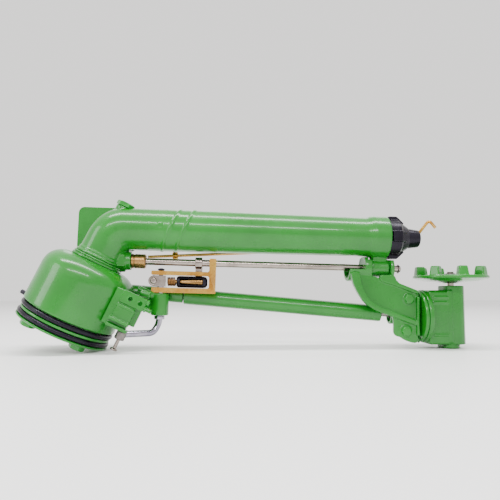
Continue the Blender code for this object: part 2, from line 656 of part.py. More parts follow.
# ---- swing arm: shaft, lever, arm and gearbox ----
def swing_shaft():
    shaft = rod("swing_shaft", SWING, "stainless", (10.0, 0, 0), (SHAFT_END_X, 0, 0), SHAFT_R, 20)
    groove = tube_ring("shaft_groove", SWING, None, 4.2, 7.0, SHAFT_END_X - 4.0,
                       SHAFT_END_X - 2.4, axis="X", steps=20)
    cut(shaft, groove)
    tube_ring("shaft_circlip", SWING, "steel", 4.5, 6.6, SHAFT_END_X - 3.7, SHAFT_END_X - 2.7,
              axis="X", steps=20)
    lever = tube_ring("shaft_lever", SWING, "stainless", SHAFT_R + GAP, 8.2, 117.0, 127.0,
                      axis="X", steps=20)
    join(lever, box("lever_reach", SWING, None, (117.0, 6.5, -4.0), (127.0, 18.5, 4.0)),
         box("lever_drop", SWING, None, (117.0, 14.6, -33.0), (127.0, 18.5, 3.0)),
         rod("lever_peg", SWING, None, (122.0, 10.4, -28.4), (122.0, 16.0, -28.4), 3.0, 12))


def swing_arm():
    """Cast arm: two ears and a cradle on the shaft, a ribbed web and a lobe in front of the drive."""
    web = [(352.0, -12.0), (372.0, -12.0), (404.0, -22.0), (438.0, -34.0), (438.0, -79.0),
           (400.0, -66.0), (376.0, -57.0), (360.0, -44.0), (350.0, -24.0)]
    arm = plate("swing_arm", SWING, "green_enamel", web, WEB_FRONT, WEB_BACK)
    lower_rib = [(338.0, -7.0), (340.0, -15.0), (343.0, -25.0), (349.0, -37.0), (356.0, -47.5),
                 (365.0, -56.0), (376.0, -61.5), (437.0, -81.5), (437.0, -75.0), (380.0, -55.6),
                 (369.0, -49.5), (361.5, -41.0), (355.5, -29.0), (352.0, -18.0), (352.0, -7.0)]
    upper_rib = [(381.0, -10.0), (402.4, -10.0), (406.0, -20.0), (437.4, -31.5), (437.4, -36.5),
                 (402.0, -24.5), (381.0, -19.0)]
    lobe = [(398.0, -62.0), (400.4, -72.0), (401.8, -80.0), (401.6, -92.0), (405.0, -96.5),
            (412.0, -98.0), (418.0, -102.0), (428.0, -105.5), (437.0, -105.5), (437.0, -74.0)]
    ear_front = rod("arm_front_ear", SWING, None, (397.5, 0, 0), (403.0, 0, 0), 19.6, 24)
    ear_rear = rod("arm_rear_ear", SWING, None, (361.0, 0, 0), (371.0, 0, 0), 20.2, 24)
    cradle = rod("arm_cradle", SWING, None, (337.5, 0, 0), (363.0, 0, 0), 20.0, 24)
    cut(cradle, rod("cradle_inside", SWING, None, (330.0, 0, 0), (360.4, 0, 0), 15.0, 24),
        box("cradle_top", SWING, None, (330.0, -25.0, -3.0), (360.6, 25.0, 25.0)))
    join(arm, plate("arm_lower_rib", SWING, None, lower_rib, -22.0, WEB_BACK - 0.5),
         plate("arm_upper_rib", SWING, None, upper_rib, -20.0, WEB_BACK - 0.9),
         plate("arm_lobe", SWING, None, lobe, LOBE_FRONT, WEB_BACK - 0.25),
         plate("arm_end_plate", SWING, None,
               [(435.0, -92.0), (438.0, -92.0), (438.0, -44.0), (435.0, -44.0)], -23.0, WEB_BACK - 1.3),
         cradle, ear_rear, ear_front)
    cut(arm, rod("hole_arm_shaft", SWING, None, (352.0, 0, 0), (415.0, 0, 0), SHAFT_R + GAP, 20),
        rod("front_lug_clearance", SWING, None, (371.0, 0, 0), (397.5, 0, 0), 14.6, 20))
    for index in range(5):
        angle = math.radians(SWING_RANGE * (index - 2) / 2)
        y, z = SHAFT_DROP * math.sin(angle), SHAFT_DROP * math.cos(angle)
        cut(arm, rod(f"barrel_clearance_{index + 1}", SWING, None, (320.0, y, z), (366.0, y, z),
                     FRONT_R + 0.9, 28),
            rod(f"bell_clearance_{index + 1}", SWING, None, (365.0, y, z), (420.0, y, z),
                NUT_CORNER_R + GAP, 28))
    for index, (x, z) in enumerate(ARM_BOLTS):
        front = (WEB_FRONT, LOBE_FRONT)[index] - GAP
        cut(arm, rod(f"hole_arm_bolt_{index + 1}", SWING, None, (x, -30.0, z), (x, 20.0, z),
                     3.4, 12))
        bolt = rod(f"arm_bolt_{index + 1}", SWING, "green_enamel", (x, front - 4.5, z),
                   (x, front, z), 6.6, 6)
        join(bolt, rod(f"arm_bolt_{index + 1}_shank", SWING, None, (x, front - 2.0, z),
                       (x, 4.0, z), 3.1, 12))


def gearbox():
    """Gear case: a round flange, a square body and an upright turret for the spindle."""
    body = box("gearbox_housing", GEARBOX, "green_enamel", (-42.0, -20.0, -40.0),
               (10.0, 20.0, 36.0), 3.0)
    flange = rod("gearbox_flange", GEARBOX, None, (-48.0, 0, -1.5), (-41.0, 0, -1.5), 38.0, 28)
    turret = [rod("turret_front", GEARBOX, None, (0, -7.0, -40.0), (0, -7.0, 44.0), 14.8, 24),
              rod("turret_back", GEARBOX, None, (0, 7.0, -40.0), (0, 7.0, 44.0), 14.8, 24),
              box("turret_middle", GEARBOX, None, (-14.8, -7.0, -40.0), (14.8, 7.0, 44.0)),
              rod("foot_front", GEARBOX, None, (-6.0, -7.0, FOOT_Z), (-6.0, -7.0, -38.0), 12.4, 24),
              rod("foot_back", GEARBOX, None, (-6.0, 7.0, FOOT_Z), (-6.0, 7.0, -38.0), 12.4, 24),
              box("foot_middle", GEARBOX, None, (-18.4, -7.0, FOOT_Z), (6.4, 7.0, -38.0))]
    ribs = [box(f"gearbox_rib_{i + 1}", GEARBOX, None, (-36.0, -21.2, z), (-14.0, -18.0, z + 3.0))
            for i, z in enumerate((26.0, 18.5, -28.0))]
    join(body, flange, *turret, *ribs)
    cut(body, rod("gear_chamber", GEARBOX, None, (-60.0, 0, 0), (-12.0, 0, 0), 18.4, 24),
        rod("pinion_chamber", GEARBOX, None, (0, 0, -34.0), (0, 0, 30.0), 12.2, 20),
        box("chamber_link", GEARBOX, None, (-14.0, -12.0, -16.0), (0.0, 12.0, 13.0)),
        rod("hole_spindle", GEARBOX, None, (0, 0, 20.0), (0, 0, 50.0), 9.0, 16))
    for index, (y, z) in enumerate(FLANGE_SCREWS):
        cut(body, rod(f"hole_flange_screw_{index + 1}", GEARBOX, None, (-49.0, y, z),
                      (-30.0, y, z), 2.8, 12))


def gearbox_cover():
    """Plate that closes the gear case, with the shaft support that the arm bolts to."""
    cover = rod("gearbox_cover", GEARBOX, "green_enamel", (-53.3, 0, -1.5), (-48.3, 0, -1.5),
                37.0, 28)
    nose = box("shaft_support", GEARBOX, None, (-84.0, -12.6, -29.0), (-52.0, 10.0, 29.0), 1.5)
    join(cover, nose)
    cut(cover, rod("hole_cover_shaft", GEARBOX, None, (-100.0, 0, 0), (-40.0, 0, 0),
                   SHAFT_R + GAP, 16),
        rod("cup_clearance", GEARBOX, None, (-100.0, 0, 0), (-72.0, 0, 0), 12.4, 20))
    for index, (x, z) in enumerate(ARM_BOLTS):
        cut(cover, rod(f"hole_cover_bolt_{index + 1}", SWING, None, (x, -30.0, z), (x, 30.0, z),
                       3.6, 12))
    for index, (y, z) in enumerate(FLANGE_SCREWS):
        cut(cover, rod(f"hole_cover_screw_{index + 1}", GEARBOX, None, (-60.0, y, z),
                       (-40.0, y, z), 2.8, 12),
            rod(f"screw_pocket_{index + 1}", GEARBOX, None, (-60.0, y, z), (-53.3, y, z), 5.4, 12))
        screw = rod(f"cover_screw_{index + 1}", GEARBOX, "green_enamel", (-55.6, y, z),
                    (-53.6, y, z), 4.6, 12)
        join(screw, rod(f"cover_screw_{index + 1}_shank", GEARBOX, None, (-55.0, y, z),
                        (-32.0, y, z), 2.5, 12))


def gearbox_gears():
    crown = gear_wheel("crown_wheel", GEARBOX, "steel", 24, 17.6, 2.4, 0.0, -20.0, -12.5)
    crown.matrix_local = AXES["X"]
    join(crown, rod("output_shaft", GEARBOX, None, (-72.0, 0, 0), (-18.0, 0, 0), 5.0, 16))
    cup = tube_ring("output_cup", GEARBOX, "green_enamel", 8.4, 11.4, -95.0, -76.0, axis="X",
                    steps=20, chamfer=0.8)
    join(cup, rod("output_cup_end", GEARBOX, None, (-77.5, 0, 0), (-72.3, 0, 0), 9.0, 16))


def turbine():
    rim = [(0.0, 57.3), (9.0, 57.3), (11.0, 56.8), (38.0, 57.8), (51.6, 59.4), (TURBINE_R, 58.4),
           (TURBINE_R, 55.2), (51.9, 54.2), (38.0, 51.2), (12.0, 48.6), (9.5, 47.8), (0.0, 47.8)]
    wheel = turned("turbine_wheel", GEARBOX, "green_enamel", rim, steps=28)
    for index in range(VANES):
        vane = vane_solid(f"vane_{index + 1}")
        vane.matrix_local = Matrix.Rotation(math.radians(360.0 * index / VANES - 5.0), 4, "Z")
        join(wheel, vane)
    cut(wheel, rod("hole_wheel", GEARBOX, None, (0, 0, 40.0), (0, 0, 70.0), 5.0, 16))
    spindle = rod("wheel_spindle", GEARBOX, "stainless", (0, 0, -32.0), (0, 0, 64.5), 4.7, 16)
    pinion = gear_wheel("bevel_pinion", GEARBOX, None, 12, 10.4, 2.4, 0.0, 14.0, 22.0)
    join(spindle, pinion)
    tube_ring("spindle_bearing", GEARBOX, "steel", SHAFT_R + GAP, 8.7, 31.0, 43.6, steps=20)
    nut = rod("wheel_nut", GEARBOX, "steel", (0, 0, 58.0), (0, 0, 62.5), 8.6, 6)
    cut(nut, rod("hole_wheel_nut", GEARBOX, None, (0, 0, 50.0), (0, 0, 70.0), 5.1, 16))


def vane_solid(name):
    """One upright vane: a wedge-shaped tooth, narrower at its top."""
    corners = ((-7.4, -6.4), (7.4, -7.6), (7.4, 7.6), (-7.4, 6.4))
    rings = []
    for height, shrink in ((55.6, 1.0), (70.0, 0.80), (72.0, 0.66)):
        rings.append([(VANE_R + x * shrink, y * shrink, height) for x, y in corners])
    return loft(name, GEARBOX, None, rings)


# ---- drive tube ----
def drive_parts():
    length = (TUBE_RIGHT - TUBE_LEFT).length
    tube_ring("drive_tube", DRIVE, "green_enamel", 9.6, TUBE_R, 10.0, length - 16.0, axis="X",
              steps=20, chamfer=0.6)
    core = rod("drive_core", DRIVE, "steel", (-3.0, 0, 0), (length + 2.0, 0, 0), 4.0, 16)
    join(core, rod("left_plug", DRIVE, None, (10.4, 0, 0), (25.0, 0, 0), 9.2, 16),
         rod("left_knob", DRIVE, None, (-3.5, 0, 0), (3.5, 0, 0), 5.4, 6),
         rod("right_plug", DRIVE, None, (length - 31.0, 0, 0), (length - 16.4, 0, 0), 9.2, 16),
         rod("right_knob", DRIVE, None, (length - 3.0, 0, 0), (length + 3.0, 0, 0), 5.0, 6))
    direction = Vector((64.0, 0, -3.5)).normalized()
    end = TUBE_LEFT - direction * 3.0
    start = end - direction * 78.0
    shaft = rod("input_shaft", BARREL, "green_enamel", start, end - direction * 6.0, 5.0, 16)
    socket = rod("input_socket", BARREL, None, end - direction * 9.0, end + direction * 11.0,
                 10.2, 16)
    hollow = rod("input_hollow", BARREL, None, end - direction * 3.0, end + direction * 13.0,
                 7.6, 16)
    join(shaft, socket)
    cut(shaft, hollow)


# ---- jet breaker ----
def jet_breaker():
    corners = [(0, 0, 0), (382.0, 0, 0), (402.0, -18.0, 9.0), (421.0, -34.0, 36.0),
               (429.5, -35.0, 24.0)]
    wire("jet_breaker_rod", BREAKER, "yellow_zinc", rounded_path(corners, 6.0, 4), 2.2)
    for name, x in (("rear", 40.0), ("front", 300.0)):
        place = BREAKER_START + BREAKER_DIRECTION * x
        tube_ring(f"breaker_clip_{name}", BREAKER, "yellow_zinc", 2.6, 5.0, x - 4.0, x + 4.0,
                  axis="X", steps=12)
        inward = Vector((place.x, 0, 0)) - place
        foot = inward.length - barrel_radius(place.x) - GAP
        leg = rod(f"clip_leg_{name}", BARREL, None, place + inward.normalized() * 3.4,
                  place + inward.normalized() * foot, 3.2, 12)
        join(bpy.data.objects[f"breaker_clip_{name}"], leg)


def place_on_floor():
    """Moves the whole assembly so that it stands on Z = 0, centred on the origin."""
    bpy.context.view_layer.update()
    graph = bpy.context.evaluated_depsgraph_get()
    low = Vector((math.inf,) * 3)
    high = Vector((-math.inf,) * 3)
    for obj in PARTS.objects:
        if obj.type != "MESH":
            continue
        shape = obj.evaluated_get(graph)
        for vertex in shape.data.vertices:
            point = obj.matrix_world @ vertex.co
            for axis in range(3):
                low[axis] = min(low[axis], point[axis])
                high[axis] = max(high[axis], point[axis])
    CORNER.location -= Vector(((low.x + high.x) / 2, (low.y + high.y) / 2, low.z))
    bpy.context.view_layer.update()


clear_scene()
PARTS = make_collection("turbine_rain_gun")
CUTTERS = make_collection("cutters")
MATERIALS = {paint: make_material(paint) for paint in PAINTS}

CORNER = make_frame("elbow_corner")
BASE = make_frame("base_axis", CORNER, rotation=turn_y(BASE_LEAN))
BARREL = make_frame("barrel_axis", CORNER, rotation=turn_y(BARREL_DROOP))
SWING = make_frame("swing_axis", BARREL, (0, 0, -SHAFT_DROP))
GEARBOX = make_frame("gearbox_axis", SWING, (TURBINE_X, 0, SHAFT_DROP - TURBINE_DROP),
                     turn_y(-BARREL_DROOP))
CRANK = make_frame("crank_axis", BARREL, (CRANK_X, 0, -104.0))
DRIVE = make_frame("drive_axis", BARREL, TUBE_LEFT,
                   (TUBE_RIGHT - TUBE_LEFT).to_track_quat("X", "Z").to_matrix().to_4x4())
BREAKER_START = Vector((46.0, 27.0, -37.0))
BREAKER_END = Vector((428.0, 38.5, -9.0))
BREAKER_DIRECTION = (BREAKER_END - BREAKER_START).normalized()
BREAKER = make_frame("breaker_axis", BARREL, BREAKER_START,
                     BREAKER_DIRECTION.to_track_quat("X", "Z").to_matrix().to_4x4())
SWING_RANGE = 15.0           # degrees each way
WEB_FRONT, WEB_BACK = -17.0, -13.0
LOBE_FRONT = -20.0
ARM_BOLTS = ((423.0, -43.5), (418.5, -89.0))
FLANGE_SCREWS = ((-8.0, 30.5), (-8.0, -33.5), (24.0, 20.5), (24.0, -23.5))


def rest_height():
    """Height, in the gearbox's frame, of the floor under the flange's lower edge."""
    lean, droop = math.radians(BASE_LEAN), math.radians(BARREL_DROOP)
    across = FLANGE_EDGE_R * math.cos(math.pi / FLANGE_STEPS)
    floor = -across * math.sin(lean) + FLANGE_BOTTOM * math.cos(lean)
    gearbox = -TURBINE_X * math.sin(droop) - TURBINE_DROP * math.cos(droop)
    return floor - gearbox


FOOT_Z = rest_height()

base_flange()
base_bolts()
base_inner_parts()
sector_ring("sector_ring_upper", RING_UPPER_Z, 152.0, 0.0)
sector_ring("sector_ring_lower", RING_LOWER_Z, 132.0, RING_UPPER_Z - RING_LOWER_Z)
base_housing()
housing_inner_parts()
final_pinion()
barrel_body()
gauge_plug()
rear_plate()
shaft_bearings()
nozzle_parts()
trip_bracket()
crank()
crank_arm()
toggle_frame()
toggle_parts()
swing_shaft()
swing_arm()
gearbox()
gearbox_cover()
gearbox_gears()
turbine()
drive_parts()
jet_breaker()
place_on_floor()
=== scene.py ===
"""Looks of a turbine-driven rain gun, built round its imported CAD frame.

Shapes are given in millimetres in the frames of the joints that they turn on, and are
baked to metres in the row frame. Castings are voxel meshes with soft edges, turned and
folded parts are meshes with rounded corners, and machined holes are cut last.
"""

import json
import math

import bmesh
import bpy
from mathutils import Matrix, Vector


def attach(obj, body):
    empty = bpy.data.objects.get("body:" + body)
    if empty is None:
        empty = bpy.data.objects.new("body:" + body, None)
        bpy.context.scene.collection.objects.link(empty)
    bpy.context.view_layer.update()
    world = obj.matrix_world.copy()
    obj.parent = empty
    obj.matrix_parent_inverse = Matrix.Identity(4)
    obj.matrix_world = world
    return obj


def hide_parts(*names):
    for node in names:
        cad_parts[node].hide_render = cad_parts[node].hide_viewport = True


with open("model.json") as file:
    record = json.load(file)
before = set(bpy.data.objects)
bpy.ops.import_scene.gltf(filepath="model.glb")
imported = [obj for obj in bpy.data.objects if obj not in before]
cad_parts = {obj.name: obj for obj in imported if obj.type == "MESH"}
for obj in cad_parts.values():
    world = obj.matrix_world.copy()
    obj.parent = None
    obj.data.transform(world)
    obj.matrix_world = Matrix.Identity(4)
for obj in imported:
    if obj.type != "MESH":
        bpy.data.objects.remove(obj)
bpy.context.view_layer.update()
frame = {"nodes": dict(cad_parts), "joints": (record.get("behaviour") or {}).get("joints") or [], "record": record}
MM = 0.001

# ---- frames, from the joints ----
JOINTS = {joint["name"]: joint for joint in frame["joints"]}


def joint_place(name):
    return Vector(JOINTS[name]["pos_m"])


def joint_axis(name):
    return Vector(JOINTS[name]["axis"])


def turn(degrees, axis):
    return Matrix.Rotation(math.radians(degrees), 4, axis)


def tilted(place, angle):
    """A frame at a place, turned about Y by an angle in radians."""
    return Matrix.Translation(place) @ Matrix.Rotation(angle, 4, "Y")


LEAN = math.atan2(joint_axis("gun_rotation").x, joint_axis("gun_rotation").z)
DROOP = math.atan2(-joint_axis("arm_swing").z, joint_axis("arm_swing").x)
SLOPE = LEAN - DROOP
CORNER = joint_place("gun_rotation")
BASE = tilted(CORNER, LEAN)
BARREL = tilted(CORNER, DROOP)
SHAFT_DROP = -(BARREL.inverted() @ joint_place("arm_swing")).z / MM
SWING = BARREL @ Matrix.Translation((0, 0, -SHAFT_DROP * MM))
GEARBOX = Matrix.Translation(joint_place("wheel_spin") - Vector((0, 0, 0.030)))
CRANK = tilted(joint_place("crank_swing"), DROOP)
TOGGLE = tilted(joint_place("toggle_swing"), DROOP)
DRIVE = Matrix.Translation(joint_place("tube_shaft_spin")) @ (
    joint_axis("tube_shaft_spin").to_track_quat("X", "Z").to_matrix().to_4x4())
BREAKER_AXIS = joint_axis("breaker_swing")
BREAKER = Matrix.Translation(joint_place("breaker_swing") - BREAKER_AXIS * 0.100) @ (
    BREAKER_AXIS.to_track_quat("X", "Z").to_matrix().to_4x4())
TO_X = turn(90, "Y")

# ---- driving dimensions, in millimetres ----
GAP = 0.3
BARREL_R = 30.0
BORE_R = 24.5
TAPER_X = 150.0
FRONT_R = 28.6
MUZZLE_X = 395.5
BELL_X = 370.0
BELL_R = 31.2
LUG_X = 397.4
NUT_CORNER_R = 32.6
HOUSING_R = 66.0
HOUSING_BOTTOM = -135.0
RING_R = 62.8
RING_WIRE_R = 3.3
RING_UPPER_Z = -139.9
RING_LOWER_Z = -151.6
FLANGE_BOTTOM = -158.5
BOLT_CIRCLE_R = 50.0
BOLT_ANGLES = (45.0, 135.0, 225.0, 315.0)
SHAFT_END_X = 417.0
CRANK_X = 69.0
CRANK_R = 4.6
TUBE_R = 11.6
ARM_BOLTS = ((423.0, -43.5), (418.5, -89.0))
FLANGE_SCREWS = ((-8.0, 30.5), (-8.0, -33.5), (24.0, 20.5), (24.0, -23.5))
FOOT_Z = -GEARBOX.translation.z / MM
VANES = 8
VANE_R = 44.4
VANE_FOOT = ((-7.4, -6.4), (7.4, -7.6), (7.4, 7.6), (-7.4, 6.4))
TURBINE_R = 53.0
PLATE_BOLTS_X = (-6.0, 16.0)
PLATE_BOLTS_Z = 2.0
CRANK_MIDDLE_Z = -104.0
CRANK_THROW = (-46.2, -33.0, -42.0)
CLEVIS_X = -9.5
CLEVIS_Z = 31.6
STUD_HEIGHTS = (-70.6, -79.6)


# ---- materials ----
class Shader:
    """A Principled material with small helpers for its nodes."""

    def __init__(self, name, colour, roughness, metallic=0.0, **sockets):
        self.material = bpy.data.materials.new(name)
        self.material.use_nodes = True
        self.tree = self.material.node_tree
        self.bsdf = self.tree.nodes["Principled BSDF"]
        self.set("Base Color", (*colour, 1.0))
        self.set("Roughness", roughness)
        self.set("Metallic", metallic)
        for socket, value in sockets.items():
            self.set(socket.replace("_", " "), value)
        self.place = self.tree.nodes.new("ShaderNodeTexCoord").outputs["Object"]
        self.material.diffuse_color = (*colour, 1.0)

    def set(self, socket, value):
        self.bsdf.inputs[socket].default_value = value

    def link(self, source, target):
        self.tree.links.new(source, target)

    def noise(self, scale, detail=3.0, stretch=(1, 1, 1)):
        mapping = self.tree.nodes.new("ShaderNodeMapping")
        mapping.inputs["Scale"].default_value = stretch
        self.link(self.place, mapping.inputs["Vector"])
        node = self.tree.nodes.new("ShaderNodeTexNoise")
        node.inputs["Scale"].default_value = scale
        node.inputs["Detail"].default_value = detail
        node.inputs["Roughness"].default_value = 0.55
        self.link(mapping.outputs["Vector"], node.inputs["Vector"])
        return node.outputs["Fac"]

    def ramp(self, factor, *stops):
        """Colours at positions along a factor."""
        node = self.tree.nodes.new("ShaderNodeValToRGB")
        elements = node.color_ramp.elements
        while len(elements) < len(stops):
            elements.new(0.5)
        for element, (position, colour) in zip(elements, stops):
            element.position = position
            element.color = (*colour, 1.0)
        self.link(factor, node.inputs["Fac"])
        return node.outputs["Color"]

    def span(self, factor, low, high):
        node = self.tree.nodes.new("ShaderNodeMapRange")
        node.inputs["To Min"].default_value = low
        node.inputs["To Max"].default_value = high
        node.inputs["From Min"].default_value = 0.3
        node.inputs["From Max"].default_value = 0.7
        self.link(factor, node.inputs["Value"])
        return node.outputs["Result"]

    def mix(self, factor, first, second):
        node = self.tree.nodes.new("ShaderNodeMix")
        node.data_type = "RGBA"
        self.link(factor, node.inputs["Factor"])
        self.link(first, node.inputs["A"])
        self.link(second, node.inputs["B"])
        return node.outputs["Result"]

    def edges(self, start, end):
        """0 on flat and 1 on the sharpest outer edges."""
        geometry = self.tree.nodes.new("ShaderNodeNewGeometry")
        node = self.tree.nodes.new("ShaderNodeMapRange")
        node.inputs["From Min"].default_value = start
        node.inputs["From Max"].default_value = end
        self.link(geometry.outputs["Pointiness"], node.inputs["Value"])
        return node.outputs["Result"]

    def bumps(self, *layers):
        """Height layers, each (height, distance in metres, strength)."""
        normal = None
        for height, distance, strength in layers:
            node = self.tree.nodes.new("ShaderNodeBump")
            node.inputs["Distance"].default_value = distance
            node.inputs["Strength"].default_value = strength
            self.link(height, node.inputs["Height"])
            if normal:
                self.link(normal, node.inputs["Normal"])
            normal = node.outputs["Normal"]
        self.link(normal, self.bsdf.inputs["Normal"])


def enamel():
    """Glossy green enamel, a little uneven in depth, on a sand casting."""
    paint = Shader("green_enamel", (0.004, 0.150, 0.007), 0.32, Coat_Weight=0.35,
                   Coat_Roughness=0.06, Specular_IOR_Level=0.30)
    broad = paint.noise(16.0, 2.0)
    tone = paint.ramp(broad, (0.30, (0.003, 0.125, 0.005)), (0.52, (0.004, 0.150, 0.007)),
                      (0.75, (0.006, 0.180, 0.010)))
    # Sharp outer edges get a lighter, brighter green through the pointiness mask below: a painted highlight along
    # the edges.
    edge = paint.ramp(paint.noise(60.0, 2.0), (0.3, (0.014, 0.25, 0.024)),
                      (0.7, (0.009, 0.20, 0.016)))
    paint.link(paint.mix(paint.edges(0.53, 0.60), tone, edge), paint.bsdf.inputs["Base Color"])
    paint.link(paint.span(paint.noise(45.0, 4.0), 0.22, 0.38), paint.bsdf.inputs["Roughness"])
    paint.bumps((paint.noise(210.0, 2.0), 0.0006, 0.10), (paint.noise(1400.0, 2.0), 0.0001, 0.16))
    return paint.material


def brushed(name, colour, dark, roughness, stretch, scale=900.0):
    """Bare metal with drawn or turned lines along one direction."""
    metal = Shader(name, colour, roughness, 1.0)
    lines = metal.noise(scale, 4.0, stretch)
    stain = metal.noise(40.0, 4.0)
    metal.link(metal.ramp(stain, (0.30, dark), (0.55, colour), (0.8, colour)),
               metal.bsdf.inputs["Base Color"])
    metal.link(metal.span(lines, roughness * 0.75, roughness * 1.5), metal.bsdf.inputs["Roughness"])
    metal.bumps((lines, 0.00012, 0.14))
    return metal.material


def yellow_zinc():
    """Yellow chromate over zinc: gold that drifts to pink and green."""
    metal = Shader("yellow_zinc", (0.42, 0.21, 0.04), 0.30, 1.0)
    drift = metal.noise(55.0, 3.0)
    gold = metal.ramp(drift, (0.25, (0.28, 0.11, 0.02)), (0.45, (0.42, 0.21, 0.04)),
                      (0.60, (0.48, 0.28, 0.06)), (0.80, (0.32, 0.26, 0.05)))
    spots = metal.noise(420.0, 3.0)
    # Sharp outer edges get a brighter gold, flecked by the spots noise: a painted glint along the edges.
    edge_glint = metal.ramp(spots, (0.3, (0.60, 0.40, 0.14)), (0.7, (0.50, 0.30, 0.09)))
    metal.link(metal.mix(metal.edges(0.54, 0.64), gold, edge_glint), metal.bsdf.inputs["Base Color"])
    metal.link(metal.span(spots, 0.22, 0.42), metal.bsdf.inputs["Roughness"])
    metal.bumps((spots, 0.00008, 0.12))
    return metal.material


def chrome():
    metal = Shader("chrome", (0.30, 0.28, 0.34), 0.10, 1.0)
    haze = metal.noise(70.0, 4.0)
    metal.link(metal.ramp(haze, (0.3, (0.22, 0.20, 0.27)), (0.6, (0.36, 0.34, 0.40))),
               metal.bsdf.inputs["Base Color"])
    metal.link(metal.span(haze, 0.07, 0.18), metal.bsdf.inputs["Roughness"])
    metal.bumps((metal.noise(900.0, 2.0), 0.00004, 0.10))
    return metal.material


def black_plastic():
    plastic = Shader("black_plastic", (0.003, 0.002, 0.005), 0.26, Specular_IOR_Level=0.22,
                     Specular_Tint=(0.86, 0.80, 1.0, 1.0))
    grain = plastic.noise(1300.0, 3.0)
    plastic.link(plastic.ramp(plastic.noise(70.0, 3.0), (0.3, (0.002, 0.0015, 0.003)),
                              (0.7, (0.006, 0.005, 0.009))), plastic.bsdf.inputs["Base Color"])
    plastic.link(plastic.span(plastic.noise(90.0, 3.0), 0.20, 0.38),
                 plastic.bsdf.inputs["Roughness"])
    plastic.bumps((grain, 0.00008, 0.14))
    return plastic.material


def rubber():
    soft = Shader("rubber", (0.018, 0.018, 0.018), 0.62)
    grain = soft.noise(1500.0, 3.0)
    soft.link(soft.ramp(soft.noise(120.0, 3.0), (0.3, (0.012, 0.012, 0.012)),
                        (0.7, (0.034, 0.033, 0.032))), soft.bsdf.inputs["Base Color"])
    soft.link(soft.span(grain, 0.52, 0.72), soft.bsdf.inputs["Roughness"])
    soft.bumps((grain, 0.0001, 0.25))
    return soft.material


MATERIALS = {
    "green_enamel": enamel(),
    "stainless": brushed("stainless", (0.34, 0.29, 0.26), (0.20, 0.165, 0.145), 0.18, (0.03, 1, 1)),
    "chrome": chrome(),
    "yellow_zinc": yellow_zinc(),
    "brass": brushed("brass", (0.32, 0.18, 0.065), (0.17, 0.09, 0.03), 0.28, (1, 0.06, 0.06)),
    "black_plastic": black_plastic(),
    "rubber": rubber(),
    "steel": brushed("steel", (0.22, 0.20, 0.19), (0.11, 0.10, 0.095), 0.32, (1, 1, 1), 500.0),
    "bronze": brushed("bronze", (0.24, 0.12, 0.045), (0.12, 0.06, 0.02), 0.34, (1, 0.1, 0.1)),
}
SLOT_OF = {part["node"]: part["material_slot"] for part in frame["record"]["subparts"]}
BODY_OF = {node: body for body, nodes in frame["record"]["behaviour"]["bodies"].items()
           for node in nodes}


# ---- making shapes: each returns a loose object in the row frame ----
def place_object(name, mesh, matrix):
    obj = bpy.data.objects.new(name, mesh)
    bpy.context.scene.collection.objects.link(obj)
    mesh.transform(matrix)
    if matrix.to_3x3().determinant() < 0:
        mesh.flip_normals()
    return obj


def from_bmesh(name, bm, matrix):
    bmesh.ops.recalc_face_normals(bm, faces=bm.faces)
    mesh = bpy.data.meshes.new(name)
    bm.to_mesh(mesh)
    bm.free()
    return place_object(name, mesh, matrix)


def round_corners(points, radius, closed, steps=4):
    """A 2D outline with its corners turned to arcs."""
    count = len(points)
    points = [Vector(p) for p in points]
    made = []
    for i, here in enumerate(points):
        if not closed and i in (0, count - 1):
            made.append(here)
            continue
        before, after = points[i - 1] - here, points[(i + 1) % count] - here
        reach = min(radius, before.length * 0.45, after.length * 0.45)
        turned_by = before.angle(-after, 0.0) if before.length and after.length else 0.0
        if turned_by < math.radians(8) or reach < 0.02:
            made.append(here)
            continue
        first, last = here + before.normalized() * reach, here + after.normalized() * reach
        for k in range(steps + 1):
            t = k / steps
            made.append(first * (1 - t) ** 2 + here * 2 * t * (1 - t) + last * t * t)
    return made


def turned(name, matrix, profile, closed=False, steps=96, soft=0.6):
    """A profile of (radius, height) turned about local Z, with softened corners."""
    outline = round_corners(profile, soft, closed, 3)
    bm = bmesh.new()
    rings = []
    for r, z in outline:
        if r < 0.001:
            rings.append([bm.verts.new((0, 0, z * MM))])
            continue
        rings.append([bm.verts.new((r * MM * math.cos(math.tau * i / steps),
                                    r * MM * math.sin(math.tau * i / steps), z * MM))
                      for i in range(steps)])
    pairs = list(zip(rings, rings[1:])) + ([(rings[-1], rings[0])] if closed else [])
    for first, second in pairs:
        for i in range(steps):
            j = (i + 1) % steps
            corners = [first[i % len(first)], first[j % len(first)],
                       second[j % len(second)], second[i % len(second)]]
            corners = list(dict.fromkeys(corners))
            if len(corners) > 2:
                bm.faces.new(corners)
    return from_bmesh(name, bm, matrix)


def ring(name, matrix, inner, outer, bottom, top, soft=0.5, steps=96):
    profile = [(inner, top), (outer, top), (outer, bottom), (inner, bottom)]
    return turned(name, matrix, profile, True, steps, soft)


def along(direction):
    return Vector(direction).normalized().to_track_quat("Z", "Y").to_matrix().to_4x4()


def rod(name, matrix, start, end, radius, soft=0.5, steps=64):
    """A round bar between two points, its ends softened."""
    start, end = Vector(start), Vector(end)
    length = (end - start).length
    profile = [(0, length), (radius, length), (radius, 0), (0, 0)]
    local = Matrix.Translation(start * MM) @ along(end - start)
    return turned(name, matrix @ local, profile, False, steps, soft)


def prism(name, matrix, outline, low, high, soft=0.0):
    """An outline of (x, y) points drawn up local Z, its edges bevelled."""
    bm = bmesh.new()
    lower = [bm.verts.new((x * MM, y * MM, low * MM)) for x, y in outline]
    upper = [bm.verts.new((x * MM, y * MM, high * MM)) for x, y in outline]
    for i in range(len(outline)):
        j = (i + 1) % len(outline)
        bm.faces.new((lower[i], lower[j], upper[j], upper[i]))
    caps = [bm.faces.new(lower), bm.faces.new(upper)]
    if soft:
        edges = list({edge for cap in caps for edge in cap.edges})
        bmesh.ops.bevel(bm, geom=edges, offset=soft * MM, segments=2, affect="EDGES",
                        clamp_overlap=True)
    return from_bmesh(name, bm, matrix)


FACING = turn(90, "X")       # local (x, y) becomes (x, z), and local z becomes -y


